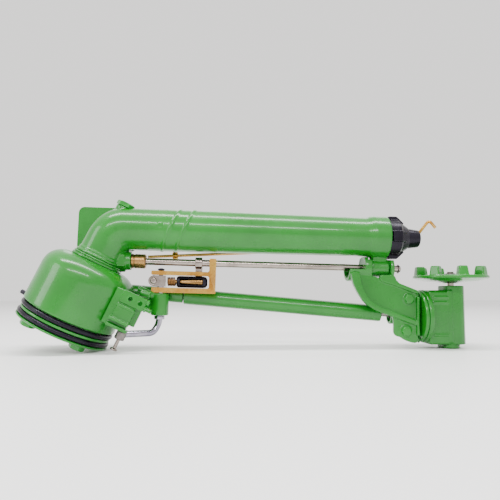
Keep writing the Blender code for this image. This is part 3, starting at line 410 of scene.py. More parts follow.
def plate(name, matrix, outline, front, back, corner=1.5, soft=0.5, holes=()):
    """A flat (x, z) outline from y = front to y = back."""
    made = prism(name, matrix @ FACING, round_corners(outline, corner, True), -back, -front, soft)
    for x, z, r in holes:
        cut(made, rod("hole", matrix, (x, front - 5, z), (x, back + 5, z), r, 0.0))
    return made


def box(name, matrix, low, high, soft=1.0):
    low, high = Vector(low), Vector(high)
    bm = bmesh.new()
    bmesh.ops.create_cube(bm, size=1.0)
    bmesh.ops.scale(bm, vec=(high - low) * MM, verts=bm.verts)
    bmesh.ops.translate(bm, vec=(low + high) / 2 * MM, verts=bm.verts)
    if soft:
        bmesh.ops.bevel(bm, geom=bm.edges, offset=soft * MM, segments=3, affect="EDGES",
                        profile=0.5, clamp_overlap=True)
    return from_bmesh(name, bm, matrix)


def hexagon(radius):
    return [(radius * math.cos(math.tau * i / 6), radius * math.sin(math.tau * i / 6))
            for i in range(6)]


def hex_head(name, matrix, radius, low, high, both=False):
    """A hexagonal head with the arcs that a turned chamfer leaves."""
    made = prism(name, matrix, hexagon(radius), low, high)
    flat, drop = radius * 0.80, radius * 0.13
    profile = [(0, high), (flat, high), (radius * 1.02, high - drop), (radius * 1.02, low + drop),
               (flat if both else radius * 1.02, low), (0, low)]
    shape = turned("chamfer", matrix, profile, soft=0.1)
    return combine(made, "INTERSECT", shape)


def wire(name, matrix, points, radius, resolution=6):
    """A round wire on a smooth line through the points."""
    curve = bpy.data.curves.new(name, "CURVE")
    curve.dimensions = "3D"
    curve.bevel_depth = radius * MM
    curve.bevel_resolution = resolution
    curve.use_fill_caps = True
    spline = curve.splines.new("POLY")
    path = [Vector(p) * MM for p in points]
    spline.points.add(len(path) - 1)
    for point, place in zip(spline.points, path):
        point.co = (*place, 1.0)
    source = bpy.data.objects.new(name + "_line", curve)
    bpy.context.scene.collection.objects.link(source)
    graph = bpy.context.evaluated_depsgraph_get()
    mesh = bpy.data.meshes.new_from_object(source.evaluated_get(graph), depsgraph=graph)
    bpy.data.objects.remove(source, do_unlink=True)
    bm = bmesh.new()
    bm.from_mesh(mesh)
    bmesh.ops.remove_doubles(bm, verts=bm.verts, dist=0.000005)
    return from_bmesh(name, bm, matrix)


def rounded_path(corners, radius, steps=10):
    corners = [Vector(c) for c in corners]
    path = [corners[0]]
    for before, here, after in zip(corners, corners[1:], corners[2:]):
        reach = min(radius, (here - before).length * 0.45, (after - here).length * 0.45)
        first = here + (before - here).normalized() * reach
        last = here + (after - here).normalized() * reach
        for i in range(steps + 1):
            t = i / steps
            path.append(first * (1 - t) ** 2 + here * 2 * t * (1 - t) + last * t * t)
    path.append(corners[-1])
    return path


def loft(name, matrix, sections):
    bm = bmesh.new()
    rings = [[bm.verts.new(Vector(p) * MM) for p in section] for section in sections]
    for first, second in zip(rings, rings[1:]):
        for i in range(len(first)):
            j = (i + 1) % len(first)
            bm.faces.new((first[i], first[j], second[j], second[i]))
    bm.faces.new(rings[0])
    bm.faces.new(rings[-1])
    return from_bmesh(name, bm, matrix)


def bake(obj):
    """Applies an object's modifiers to its mesh."""
    graph = bpy.context.evaluated_depsgraph_get()
    mesh = bpy.data.meshes.new_from_object(obj.evaluated_get(graph), depsgraph=graph)
    obj.modifiers.clear()
    obj.data = mesh
    return obj


def combine(obj, operation, *tools):
    for tool in tools:
        step = obj.modifiers.new("boolean", "BOOLEAN")
        step.operation = operation
        step.solver = "MANIFOLD"
        step.object = tool
    bake(obj)
    for tool in tools:
        bpy.data.objects.remove(tool, do_unlink=True)
    return obj


def cut(obj, *tools):
    return combine(obj, "DIFFERENCE", *tools)


def gather(obj, others):
    """Adds other objects' meshes to an object's mesh."""
    bm = bmesh.new()
    bm.from_mesh(obj.data)
    for other in others:
        bm.from_mesh(other.data)
        bpy.data.objects.remove(other, do_unlink=True)
    bm.to_mesh(obj.data)
    bm.free()
    return obj


def cast(obj, *others, voxel=0.8, soften=6, keep=0.4):
    """Fuses overlapping solids into one casting with soft edges and filleted corners."""
    gather(obj, others)
    remesh = obj.modifiers.new("remesh", "REMESH")
    remesh.mode = "VOXEL"
    remesh.voxel_size = voxel * MM
    remesh.adaptivity = 0.0
    relax = obj.modifiers.new("relax", "SMOOTH")
    relax.factor = 0.5
    relax.iterations = soften
    fewer = obj.modifiers.new("fewer", "DECIMATE")
    fewer.ratio = keep
    return bake(obj)


def show(obj, node, *more, crease=38):
    """Gives a finished piece its material and its body, and hides the CAD node that it stands for."""
    slot = SLOT_OF[node]
    obj.data.materials.clear()
    obj.data.materials.append(MATERIALS[slot])
    obj.data.shade_smooth()
    obj.data.set_sharp_from_angle(angle=math.radians(crease))
    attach(obj, BODY_OF[node])
    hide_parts(node, *more)
    return obj


def polar(radius, degrees, z=0.0):
    angle = math.radians(degrees)
    return Vector((radius * math.cos(angle), radius * math.sin(angle), z))


def barrel_point(x, y, z):
    """A point of the barrel's frame in the base's frame."""
    return Vector((x * math.cos(SLOPE) - z * math.sin(SLOPE), y,
                   x * math.sin(SLOPE) + z * math.cos(SLOPE)))


# ---- base ----
def base_flange():
    groove = RING_R - RING_WIRE_R - 0.9
    profile = [(35.3, -136.0), (groove, -136.0), (groove, -143.8), (64.2, -144.3), (64.2, -147.4),
               (groove, -147.9), (groove, -155.3), (66.0, -155.8), (66.0, FLANGE_BOTTOM + 1.0),
               (65.0, FLANGE_BOTTOM), (35.3, FLANGE_BOTTOM)]
    made = turned("flange_casting", BASE, profile, True, 160, 0.5)
    cut(made, *[rod("hole", BASE, polar(BOLT_CIRCLE_R, a, -170.0), polar(BOLT_CIRCLE_R, a, -139.0),
                    6.0, 0.0) for a in BOLT_ANGLES])
    show(made, "base_flange")


def base_bolts():
    head_top = FLANGE_BOTTOM - GAP
    for index, angle in enumerate(BOLT_ANGLES):
        here = BASE @ Matrix.Translation(polar(BOLT_CIRCLE_R, angle) * MM)
        head = hex_head("head", here @ turn(180, "X"), 11.0, -head_top + 1.2, -head_top + 7.4)
        washer = ring("washer", here, 5.0, 10.6, head_top - 1.2, head_top, 0.3)
        shank = rod("shank", here, (0, 0, head_top - 3.0), (0, 0, -139.6), 5.6)
        bolt = show(gather(head, [washer, shank]), f"base_bolt_{index + 1}")
        bolt.name = f"flange_bolt_{index + 1}"


def inlet_spindle():
    profile = [(28.0, -62.3), (34.2, -62.3), (35.0, -63.1), (35.0, FLANGE_BOTTOM + 0.8),
               (34.2, FLANGE_BOTTOM), (29.0, FLANGE_BOTTOM), (28.0, FLANGE_BOTTOM + 1.2)]
    show(turned("inlet_tube", BASE, profile, True, 128, 0.3), "inlet_spindle")


def stop_ring(name, node, height, leg_angle, lift):
    """Sprung wire ring with two legs that stand out side by side."""
    first, last = leg_angle + 5.0, leg_angle + 355.0
    count = 120
    arc = [polar(RING_R, first + (last - first) * i / count, height) for i in range(count + 1)]
    legs = []
    for angle in (first, last):
        legs.append([polar(94.0, angle, height + lift), polar(RING_R + 14.0, angle, height + lift),
                     polar(RING_R + 9.0, angle, height), arc[0 if angle == first else -1]])
    path = rounded_path(legs[0], 5.0)[:-1] + arc + rounded_path(legs[1], 5.0)[:-1][::-1]
    made = wire(name, BASE, path, RING_WIRE_R)
    tips = [turned("tip", BASE @ Matrix.Translation(leg[0] * MM) @ along(leg[0] - leg[1]),
                   [(0, 0.9), (RING_WIRE_R * 0.7, 0.6), (RING_WIRE_R, -0.4), (0, -0.6)], steps=24)
            for leg in legs]
    show(gather(made, tips), node)


# ---- gun body ----
def base_housing():
    profile = [(0, -53.6), (37.0, -53.6), (44.0, -54.5), (51.5, -57.2), (58.0, -61.8),
               (62.6, -67.4), (65.2, -74.0), (HOUSING_R, -81.0), (HOUSING_R, HOUSING_BOTTOM + 1.0),
               (HOUSING_R - 1.0, HOUSING_BOTTOM), (0, HOUSING_BOTTOM)]
    shell = turned("housing_casting", BASE, profile, False, 160, 5.0)
    journal = rod("journal", BARREL, (CRANK_X, 0, -121.0), (CRANK_X, 0, -90.0), 12.6, 1.0)
    boss = rod("boss", BARREL, (12.0, 24.0, -88.6), (76.0, 24.0, -92.1), 11.0, 1.0)
    bridge = box("bridge", BARREL, (22.0, 4.0, -112.0), (CRANK_X, 20.0, -94.0), 2.0)
    web = plate("web", BARREL, [(40.0, -92.0), (66.0, -92.0), (66.0, -118.0), (40.0, -108.0)],
                -4.0, 5.0, 2.0)
    rib = [rod("rib", BARREL, (40.0, -14.0, -84.0), (66.0, -4.0, -96.0), 4.5, 1.0),
           rod("stub", BARREL, (44.0, -20.0, -90.0), (58.0, -20.0, -93.5), 5.0, 1.0)]
    cast(shell, journal, boss, bridge, web, *rib, voxel=0.85, soften=8, keep=0.35)
    inside = turned("inside", BASE, [(43.2, -64.0), (48.0, -64.5), (54.0, -67.5), (59.0, -74.0),
                                     (61.0, -82.0), (61.0, -140.0), (43.2, -140.0)], True, 128)
    cut(shell, inside, rod("spindle_bore", BASE, (0, 0, -150.0), (0, 0, -60.0), 39.3, 0.0, 96),
        rod("water_way", BASE, (0, 0, -70.0), (0, 0, -40.0), 28.5, 0.0, 96),
        rod("sleeve_end", BASE, (0, 0, -150.0), (0, 0, -118.0), 44.0, 0.0, 96),
        rod("hole", BARREL, (CRANK_X, 0, -125.0), (CRANK_X, 0, -85.0), 5.4, 0.0),
        rod("hole", BARREL, (5.0, 24.0, -88.2), (80.0, 24.0, -92.3), 6.4, 0.0))
    show(shell, "base_housing", crease=50)


def neck_ring():
    """Retaining ring between neck and housing, with two raised beads."""
    profile = [(25.5, -47.2), (34.2, -47.2), (35.4, -48.0), (35.4, -49.2), (34.6, -49.9),
               (34.6, -50.3), (36.6, -50.8), (36.6, -53.3), (25.5, -53.3)]
    show(turned("neck_collar", BASE, profile, True, 128, 0.5), "neck_ring")


def barrel_radius(x):
    tapered = max(0.0, x - TAPER_X) / (BELL_X - 4.0 - TAPER_X)
    return BARREL_R + (FRONT_R - BARREL_R) * tapered


def barrel_section(centre, inward, half, width, count):
    side = Vector((0, 1, 0))
    return [centre + inward * (half * math.cos(math.tau * i / count))
            + side * (width * math.sin(math.tau * i / count)) for i in range(count)]


def barrel_rings(wall, neck, straight, count):
    outer_centre, outer_r = Vector((25.0, 0, -16.2)), 55.0 - wall
    inner_centre, inner_r = Vector((40.0, 0, -26.0)), 10.0 + wall
    rings = [barrel_section(Vector((0, 0, z)), Vector((1, 0, 0)), r, r, count) for z, r in neck]
    bend = math.pi / 2 - SLOPE
    steps = 24
    for i in range(steps + 1):
        angle = math.pi - bend * i / steps
        outward = Vector((math.cos(angle), 0, math.sin(angle)))
        outer = outer_centre + outward * outer_r
        inner = inner_centre + outward * inner_r
        rings.append(barrel_section((outer + inner) / 2, (inner - outer).normalized(),
                                    (inner - outer).length / 2, BARREL_R - wall, count))
    down = barrel_point(0, 0, -1)
    rings += [barrel_section(barrel_point(x, 0, 0), down, r, r, count) for x, r in straight]
    return rings


def oblique_band(x):
    shear, rings = 0.42, []
    for offset, radius in ((-2.4, 28.5), (-2.2, 30.2), (-1.4, 31.2), (1.4, 31.2), (2.2, 30.2),
                           (2.4, 28.5)):
        rings.append([(x + offset + shear * radius * math.sin(math.tau * i / 96),
                       radius * math.cos(math.tau * i / 96), radius * math.sin(math.tau * i / 96))
                      for i in range(96)])
    return loft("band", BARREL, rings)


def barrel_body():
    neck = [(-46.9, 33.4), (-46.3, 33.8), (-44.4, 33.8), (-43.8, 33.2), (-43.2, 31.4),
            (-42.4, 30.8), (-41.6, 31.6), (-40.4, 31.8), (-39.6, 31.2), (-38.8, 30.2)]
    straight = [(TAPER_X, BARREL_R), (BELL_X - 7.0, FRONT_R), (BELL_X - 4.0, FRONT_R + 0.3),
                (BELL_X - 1.5, FRONT_R + 1.6), (BELL_X - 0.5, FRONT_R + 1.8),
                (BELL_X + 1.0, FRONT_R + 1.7), (BELL_X + 2.4, BELL_R - 0.3), (BELL_X + 4.0, BELL_R),
                (MUZZLE_X - 1.6, BELL_R), (MUZZLE_X - 0.4, BELL_R - 0.6), (MUZZLE_X, BELL_R - 1.6)]
    body = loft("barrel_casting", BASE, barrel_rings(0.0, neck, straight, 160))
    turret = turned("gauge_turret", BASE, [(0, 34.5), (10.8, 34.5), (11.6, 33.7), (11.6, 27.0),
                                           (14.0, 22.0), (0, 20.0)])
    bearing = Matrix.Translation((0, 0, -SHAFT_DROP * MM))
    hexagonal = hex_head("bearing_hex", BARREL @ bearing @ TO_X, 16.0, 2.0, 20.0, True)
    collar = rod("bearing_collar", BARREL @ bearing, (18.0, 0, 0), (27.0, 0, 0), 13.0, 0.8)
    spool = turned("lug_spool", BARREL @ bearing @ TO_X,
                   [(0, 371.4), (13.8, 371.4), (13.6, 374.0), (13.2, 384.0), (13.6, 394.0),
                    (13.8, 397.1), (0, 397.1)], soft=1.0)
    saddle = box("lug_web", BARREL, (373.5, -9.0, -42.0), (394.4, 9.0, -25.0), 2.0)
    bosses = [rod("plate_boss", BARREL, (x, 22.0, PLATE_BOLTS_Z), (x, 37.6, PLATE_BOLTS_Z),
                  7.0, 0.6) for x in PLATE_BOLTS_X]
    button = rod("core_mark", BARREL, (68.0, -29.0, 4.0), (68.0, -30.5, 4.0), 3.4, 0.3)
    cast(body, oblique_band(81.5), oblique_band(101.5), turret, hexagonal, collar, saddle, spool,
         button, *bosses, voxel=0.8, soften=4, keep=0.30)
    wall = BARREL_R - BORE_R
    bore = loft("bore", BASE,
                barrel_rings(wall, [(-60.0, BORE_R)], [(MUZZLE_X + 10.0, BORE_R)], 96))
    cut(body, bore,
        rod("counterbore", BARREL, (369.7, 0, 0), (420.0, 0, 0), 26.7, 0.0, 96),
        rod("spot_face", BASE, (0, 0, 34.6), (0, 0, 60.0), 14.2, 0.0),
        rod("hole", BASE, (0, 0, 15.0), (0, 0, 40.0), 7.0, 0.0),
        rod("hole", BARREL @ bearing, (8.0, 0, 0), (30.0, 0, 0), 8.3, 0.0),
        rod("hole", BARREL @ bearing, (366.0, 0, 0), (404.0, 0, 0), 8.0, 0.0),
        *[rod("hole", BARREL, (x, 31.0, PLATE_BOLTS_Z), (x, 40.0, PLATE_BOLTS_Z), 3.6, 0.0)
          for x in PLATE_BOLTS_X])
    show(body, "barrel_body", crease=50)


def gauge_plug():
    head = hex_head("gauge_port_plug", BASE, 13.6, 34.8, 41.0)
    socket = turned("recess", BASE, [(0, 44.0), (4.6, 44.0), (4.6, 37.5), (0, 36.4)], soft=0.2)
    cut(head, socket)
    show(gather(head, [rod("thread", BASE, (0, 0, 27.0), (0, 0, 35.5), 6.7)]), "gauge_plug")


def rear_plate():
    outline = [(-61.0, -28.0), (-61.0, 31.0), (-56.0, 36.0), (22.0, 36.0), (27.0, 31.0),
               (27.0, -24.0), (22.0, -29.0), (-60.0, -29.0)]
    holes = [(x, PLATE_BOLTS_Z, 3.7) for x in PLATE_BOLTS_X]
    show(plate("stiffener_plate", BARREL, outline, 37.9, 42.4, 3.0, 0.9, holes), "rear_plate")
    for side, x in zip(("rear", "front"), PLATE_BOLTS_X):
        here = BARREL @ Matrix.Translation(Vector((x, 0, PLATE_BOLTS_Z)) * MM) @ turn(-90, "X")
        head = hex_head(f"plate_screw_{side}", here, 6.4, 43.8, 47.2)
        washer = ring("washer", here, 3.0, 7.4, 42.7, 43.8, 0.3)
        show(gather(head, [washer, rod("shank", here, (0, 0, 32.0), (0, 0, 44.0), 3.3)]),
             f"plate_bolt_{side}")


def shaft_bearings():
    here = BARREL @ Matrix.Translation((0, 0, -SHAFT_DROP * MM)) @ TO_X
    profile = [(5.3, 9.0), (8.0, 9.0), (8.0, 27.3), (10.3, 27.6), (10.3, 30.0), (9.5, 30.6),
               (9.5, 31.6), (10.3, 32.2), (10.3, 45.6), (9.2, 47.0), (5.9, 47.0), (5.3, 46.2)]
    show(turned("shaft_bush_rear", here, profile, True, 96, 0.3), "rear_bush")
    show(ring("shaft_bush_front", here, 5.3, 7.7, 371.6, 396.9, 0.3), "front_bush")


def nozzle_parts():
    forward = BARREL @ TO_X
    cone = [(23.0, 373.1), (26.3, 373.1), (26.3, 377.4), (20.6, 377.4), (15.0, 424.0),
            (14.6, 430.0), (13.0, 442.0), (12.4, 443.6), (11.4, 444.5), (10.4, 444.5),
            (9.8, 443.6), (9.8, 428.0), (19.0, 377.0)]
    show(turned("taper_nozzle", forward, cone, True, 96, 0.5), "nozzle")
    show(ring("nozzle_seat_gasket", forward, 21.0, 26.3, 370.0, 372.8, 0.4), "nozzle_gasket")
    skirt = [(21.3, 377.8), (26.2, 377.8), (26.2, MUZZLE_X + GAP), (27.4, MUZZLE_X + GAP),
             (27.4, 411.0), (24.0, 414.5), (17.4, 424.6), (16.6, 426.0), (15.5, 426.0),
             (16.2, 420.0)]
    nut = turned("nozzle_cap_nut", forward, skirt, True, 96, 0.4)
    lugs = []
    for angle in (0, 90, 180, 270):
        here = BARREL @ turn(angle, "X")
        wing = [(LUG_X, 23.0), (LUG_X, 31.4), (LUG_X + 13.0, 31.4), (LUG_X + 16.5, 25.6),
                (LUG_X + 16.5, 23.0)]
        lugs.append(plate("wing", here, wing, -7.4, 7.4, 1.5, 0.8))
        for y in (-1, 1):
            fin = [(LUG_X, 22.0), (LUG_X, 30.0), (LUG_X + 14.0, 30.0), (LUG_X + 23.4, 21.0),
                   (LUG_X + 14.0, 21.0)]
            lugs.append(plate("fin", here, fin, y * 6.4 - 1.1, y * 6.4 + 1.1, 1.0, 0.4))
    cast(nut, *lugs, voxel=0.6, soften=3, keep=0.45)
    show(nut, "nozzle_nut", crease=45)


# ---- trip bracket, crank, toggle ----
def trip_bracket():
    block = box("bracket_casting", BASE, (50.0, -47.0, -118.0), (84.0, -36.0, -68.0), 0.8)
    parts = [plate("upper", BASE, [(60.5, -84.0), (60.5, -67.0), (94.0, -67.0), (94.0, -84.0)],
                   -48.5, -43.0, 1.5, 0.6),
             box("middle", BASE, (60.0, -50.0, -106.0), (85.0, -43.0, -87.0), 0.8),
             box("step", BASE, (60.0, -51.2, -90.0), (84.0, -44.0, -86.5), 0.5),
             box("back_rib", BASE, (82.0, -42.0, -108.0), (92.0, -36.0, -83.0), 0.8)]
    for z, x in ((-107.5, 86.0), (-116.0, 88.0)):
        parts.append(box("rib", BASE, (58.0, -55.0, z - 2.0), (x, -43.0, z + 2.0), 0.6))
    cast(block, *parts, voxel=0.6, soften=3, keep=0.45)
    cut(block, rod("saddle", BASE, (0, 0, -140.0), (0, 0, -50.0), HOUSING_R + 0.05, 0.0, 160),
        *[rod("hole", BASE, (x, -55.0, -75.5), (x, -30.0, -75.5), 3.1, 0.0) for x in (72.6, 86.7)])
    studs = [rod("stud", BASE, (90.0, -45.6, z), (x, -45.6, z), 2.6, 0.5)
             for z, x in zip(STUD_HEIGHTS, (97.5, 104.0))]
    nuts = [hex_head("stud_nut", BASE @ Matrix.Translation(Vector((94.2, -45.6, z)) * MM) @ TO_X,
                     4.4, 0.0, 2.6, True) for z in STUD_HEIGHTS]
    show(gather(block, studs + nuts), "trip_bracket", crease=45)


def crank():
    corners = [(0, 0, 32.0), (0, 0, -28.0), (-7.0, -5.0, -41.5), CRANK_THROW]
    bar = wire("crank_bar", CRANK, rounded_path(corners, 13.0, 16), CRANK_R, resolution=10)
    collar = ring("collar", CRANK, 4.5, 7.4, -22.6, -17.6, 0.8)
    show(gather(bar, [collar]), "crank_rod")
    throw_x, throw_y, throw_z = CRANK_THROW
    pin = barrel_point(CRANK_X + throw_x, throw_y, CRANK_MIDDLE_Z + throw_z)
    hub = rod("trip_hub_collar", BASE, pin + Vector((0, 0, -7.2)), pin + Vector((0, 0, 4.0)),
              6.8, 1.2)
    cut(hub, rod("clearance", CRANK, (-28.0, -20.0, -41.77), (-50.0, -35.7, -42.05), 4.7, 0.0),
        rod("hole", BASE, pin + Vector((0, 0, -12.0)), pin + Vector((0, 0, -5.0)), 2.6, 0.0))
    show(hub, "trip_hub")
    here = BASE @ Matrix.Translation(pin * MM)
    profile = [(0, -5.4), (2.0, -5.4), (2.4, -6.0), (2.4, -19.6), (4.2, -20.2), (5.0, -21.0),
               (5.0, -22.4), (4.4, -23.0), (0, -23.0)]
    show(turned("trip_stud", here, profile, soft=0.2, steps=48), "trip_pin")


def crank_arm():
    outline = [(-8.3, 39.0), (7.4, 39.0), (7.4, 23.5), (-8.3, 23.5)]
    arm = plate("clevis_block", CRANK, outline, -7.0, 7.0, 1.0, 0.8)
    eye = rod("eye", CRANK, (CLEVIS_X, -5.0, CLEVIS_Z), (CLEVIS_X, 5.0, CLEVIS_Z), 7.6, 0.8)
    combine(arm, "UNION", eye)
    cut(arm, rod("hole", CRANK, (0, 0, 15.0), (0, 0, 50.0), 4.8, 0.0),
        rod("hole", CRANK, (CLEVIS_X, -20.0, CLEVIS_Z), (CLEVIS_X, 20.0, CLEVIS_Z), 2.6, 0.0))
    show(arm, "crank_arm")
    here = CRANK @ Matrix.Translation(Vector((CLEVIS_X, 0, CLEVIS_Z)) * MM) @ turn(90, "X")
    head = turned("clevis_screw", here, [(0, 10.2), (3.4, 10.0), (4.6, 8.8), (4.6, 7.3), (2.5, 7.3),
                                         (2.5, -8.0), (0, -8.0)], steps=48, soft=0.5)
    cut(head, prism("socket", here, hexagon(2.1), 8.4, 12.0))
    show(head, "crank_arm_bolt")
    cap = turned("crank_top_stud", CRANK, [(0, 49.5), (2.6, 49.5), (3.0, 49.0), (3.0, 32.4),
                                           (0, 32.4)], steps=48, soft=0.2)
    nut = hex_head("top_nut", CRANK, 4.9, 46.2, 49.0, True)
    show(gather(cap, [nut]), "crank_top_pin")


def toggle_frame():
    outline = [(56.0, -58.3), (137.4, -58.3), (137.4, -39.0), (147.0, -39.0), (147.0, -88.9),
               (57.0, -88.9), (57.0, -81.8), (137.4, -81.8), (137.4, -64.1), (56.0, -64.1)]
    made = plate("toggle_fork", BARREL, outline, -7.3, 7.3, 1.6, 0.7)
    cut(made, rod("hole", BARREL, (130.0, 0, -SHAFT_DROP), (155.0, 0, -SHAFT_DROP), 5.3, 0.0),
        rod("hole", BARREL, (CRANK_X, 0, -70.0), (CRANK_X, 0, -50.0), 3.4, 0.0),
        rod("hole", BARREL, (CRANK_X, 0, -95.0), (CRANK_X, 0, -75.0), 5.1, 0.0))
    show(made, "toggle_frame")


def toggle_parts():
    forward = TOGGLE @ TO_X
    outer = turned("toggle_case", forward, [(0, 22.6), (6.6, 22.6), (8.2, 25.0), (8.2, 60.5),
                                            (7.4, 64.2), (4.4, 66.2), (0.0, 66.4)], False, 64, 0.6)
    inner = turned("hollow", forward, [(0, 20.0), (3.8, 20.0), (3.8, 25.0), (6.7, 26.0),
                                       (6.7, 60.0), (4.6, 62.6), (0, 63.0)], False, 64, 0.3)
    cut(outer, inner, box("window", TOGGLE, (27.0, -12.0, -4.6), (60.0, -3.0, 4.6), 1.5))
    show(outer, "toggle_sleeve")
    plunger = [(0.0, 9.2), (3.0, 9.2), (3.0, 26.5), (3.6, 27.5), (5.9, 56.0), (5.9, 59.3),
               (0.0, 59.3)]
    show(turned("toggle_rod", forward, plunger, soft=0.3, steps=48), "toggle_plunger")
    turns, per_turn, coil = 5, 28, []
    for i in range(turns * per_turn + 1):
        angle = math.tau * i / per_turn
        coil.append((9.6 + 11.2 * i / (turns * per_turn), 5.6 * math.cos(angle),
                     5.6 * math.sin(angle)))
    show(wire("toggle_coil", TOGGLE, coil, 1.0, resolution=3), "toggle_spring")


# ---- swing arm ----
def swing_shaft():
    profile = [(0, SHAFT_END_X), (4.2, SHAFT_END_X), (5.0, SHAFT_END_X - 0.8),
               (5.0, SHAFT_END_X - 2.4), (4.2, SHAFT_END_X - 2.4), (4.2, SHAFT_END_X - 4.0),
               (5.0, SHAFT_END_X - 4.0), (5.0, 10.8), (4.2, 10.0), (0, 10.0)]
    show(turned("swing_bar", SWING @ TO_X, profile, soft=0.05, steps=64), "swing_shaft")
    clip = ring("clip_ring", SWING @ TO_X, 4.5, 6.6, SHAFT_END_X - 3.7, SHAFT_END_X - 2.7, 0.2)
    cut(clip, box("clip_mouth", SWING, (400, 2.0, -2.4), (430, 10.0, 2.4), 0.0))
    show(clip, "shaft_circlip")
    lever = ring("lever_hub", SWING @ TO_X, 5.3, 8.2, 117.0, 127.0, 0.6)
    arm = plate("lever_blade", SWING @ turn(90, "Z"), [(7.5, 3.5), (18.5, 3.5), (18.5, -33.0),
                (14.6, -33.0), (14.6, -4.0), (7.5, -4.0)], -127.0, -117.0, 1.5, 0.5)
    peg = rod("peg", SWING, (122.0, 10.4, -28.4), (122.0, 16.0, -28.4), 3.0, 0.5)
    show(gather(lever, [arm, peg]), "shaft_lever")


def swing_arm():
    """Cast arm with round ears, a cradle, a ribbed web and a bolting lobe."""
    web = [(352.0, -12.0), (372.0, -12.0), (404.0, -22.0), (438.0, -34.0), (438.0, -79.0),
           (400.0, -66.0), (376.0, -57.0), (360.0, -44.0), (350.0, -24.0)]
    arm = plate("arm_casting", SWING, web, -17.0, -13.0, 2.0, 0.0)
    lower_rib = [(338.0, -7.0), (339.5, -15.0), (342.0, -25.0), (348.0, -36.5), (355.5, -47.0),
                 (365.0, -55.5), (376.0, -61.5), (437.0, -81.5), (437.0, -75.0), (380.0, -55.6),
                 (369.0, -49.5), (361.5, -41.0), (355.5, -29.0), (352.0, -18.0), (352.0, -7.0)]
    upper_rib = [(381.0, -10.0), (402.4, -10.0), (406.0, -20.0), (437.4, -31.5), (437.4, -36.5),
                 (402.0, -24.5), (381.0, -19.0)]
    lobe = [(398.0, -62.0), (400.4, -72.0), (401.8, -80.0), (401.6, -92.0), (405.0, -96.5),
            (412.0, -98.0), (418.0, -102.0), (428.0, -105.5), (437.0, -105.5), (437.0, -74.0)]
    parts = [plate("lower_rib", SWING, lower_rib, -22.0, -13.5, 6.0, 0.9),
             plate("upper_rib", SWING, upper_rib, -20.0, -13.9, 3.0, 0.9),
             plate("lobe", SWING, lobe, -18.6, -13.0, 5.0, 0.8),
             rod("lobe_pad", SWING, (418.5, -20.0, -89.0), (418.5, -14.0, -89.0), 8.6, 0.8),
             rod("web_pad", SWING, (423.0, -18.4, -43.5), (423.0, -14.0, -43.5), 7.4, 0.8),
             plate("end_plate", SWING, [(434.0, -94.0), (438.0, -94.0), (438.0, -40.0),
                                        (434.0, -40.0)], -23.0, -14.3, 1.0, 0.8),
             turned("rear_ear", SWING @ TO_X, [(0, 361.0), (18.6, 361.0), (20.2, 362.6),
                                               (20.2, 369.4), (18.6, 371.0), (0, 371.0)]),
             turned("front_ear", SWING @ TO_X, [(0, 397.5), (18.4, 397.5), (19.6, 398.7),
                                                (19.6, 401.8), (18.4, 403.0), (0, 403.0)])]
    cradle = ring("cradle", SWING @ TO_X, 15.0, 20.0, 337.5, 363.0, 1.2)
    cut(cradle, box("cradle_top", SWING, (330.0, -25.0, -2.5), (360.4, 25.0, 25.0), 0.0))
    cast(arm, cradle, *parts, voxel=0.7, soften=4, keep=0.40)
    drops = [math.radians(15.0 * (i - 6) / 6) for i in range(13)]
    cut(arm, rod("hole", SWING, (352.0, 0, 0), (415.0, 0, 0), 5.3, 0.0),
        rod("lug_clearance", SWING, (371.0, 0, 0), (397.5, 0, 0), 14.4, 0.0))
    for angle in drops:
        y, z = SHAFT_DROP * math.sin(angle), SHAFT_DROP * math.cos(angle)
        cut(arm, rod("barrel_clearance", SWING, (320.0, y, z), (366.0, y, z), FRONT_R + 0.8,
                     0.0, 96),
            rod("bell_clearance", SWING, (365.0, y, z), (420.0, y, z), NUT_CORNER_R, 0.0, 96))
    for x, z in ARM_BOLTS:
        cut(arm, rod("hole", SWING, (x, -30.0, z), (x, 20.0, z), 3.4, 0.0))
    show(arm, "swing_arm", crease=50)
    for index, (x, z) in enumerate(ARM_BOLTS):
        front = (18.4, 20.0)[index] + 0.1
        here = SWING @ Matrix.Translation(Vector((x, 0, z)) * MM) @ turn(90, "X")
        head = hex_head(f"arm_screw_{index + 1}", here, 6.6, front + 0.9, front + 4.6)
        washer = ring("washer", here, 3.0, 7.0, front, front + 1.0, 0.2)
        shank = rod("shank", here, (0, 0, 4.2), (0, 0, front + 2.0), 3.1)
        show(gather(head, [washer, shank]), f"arm_bolt_{index + 1}")


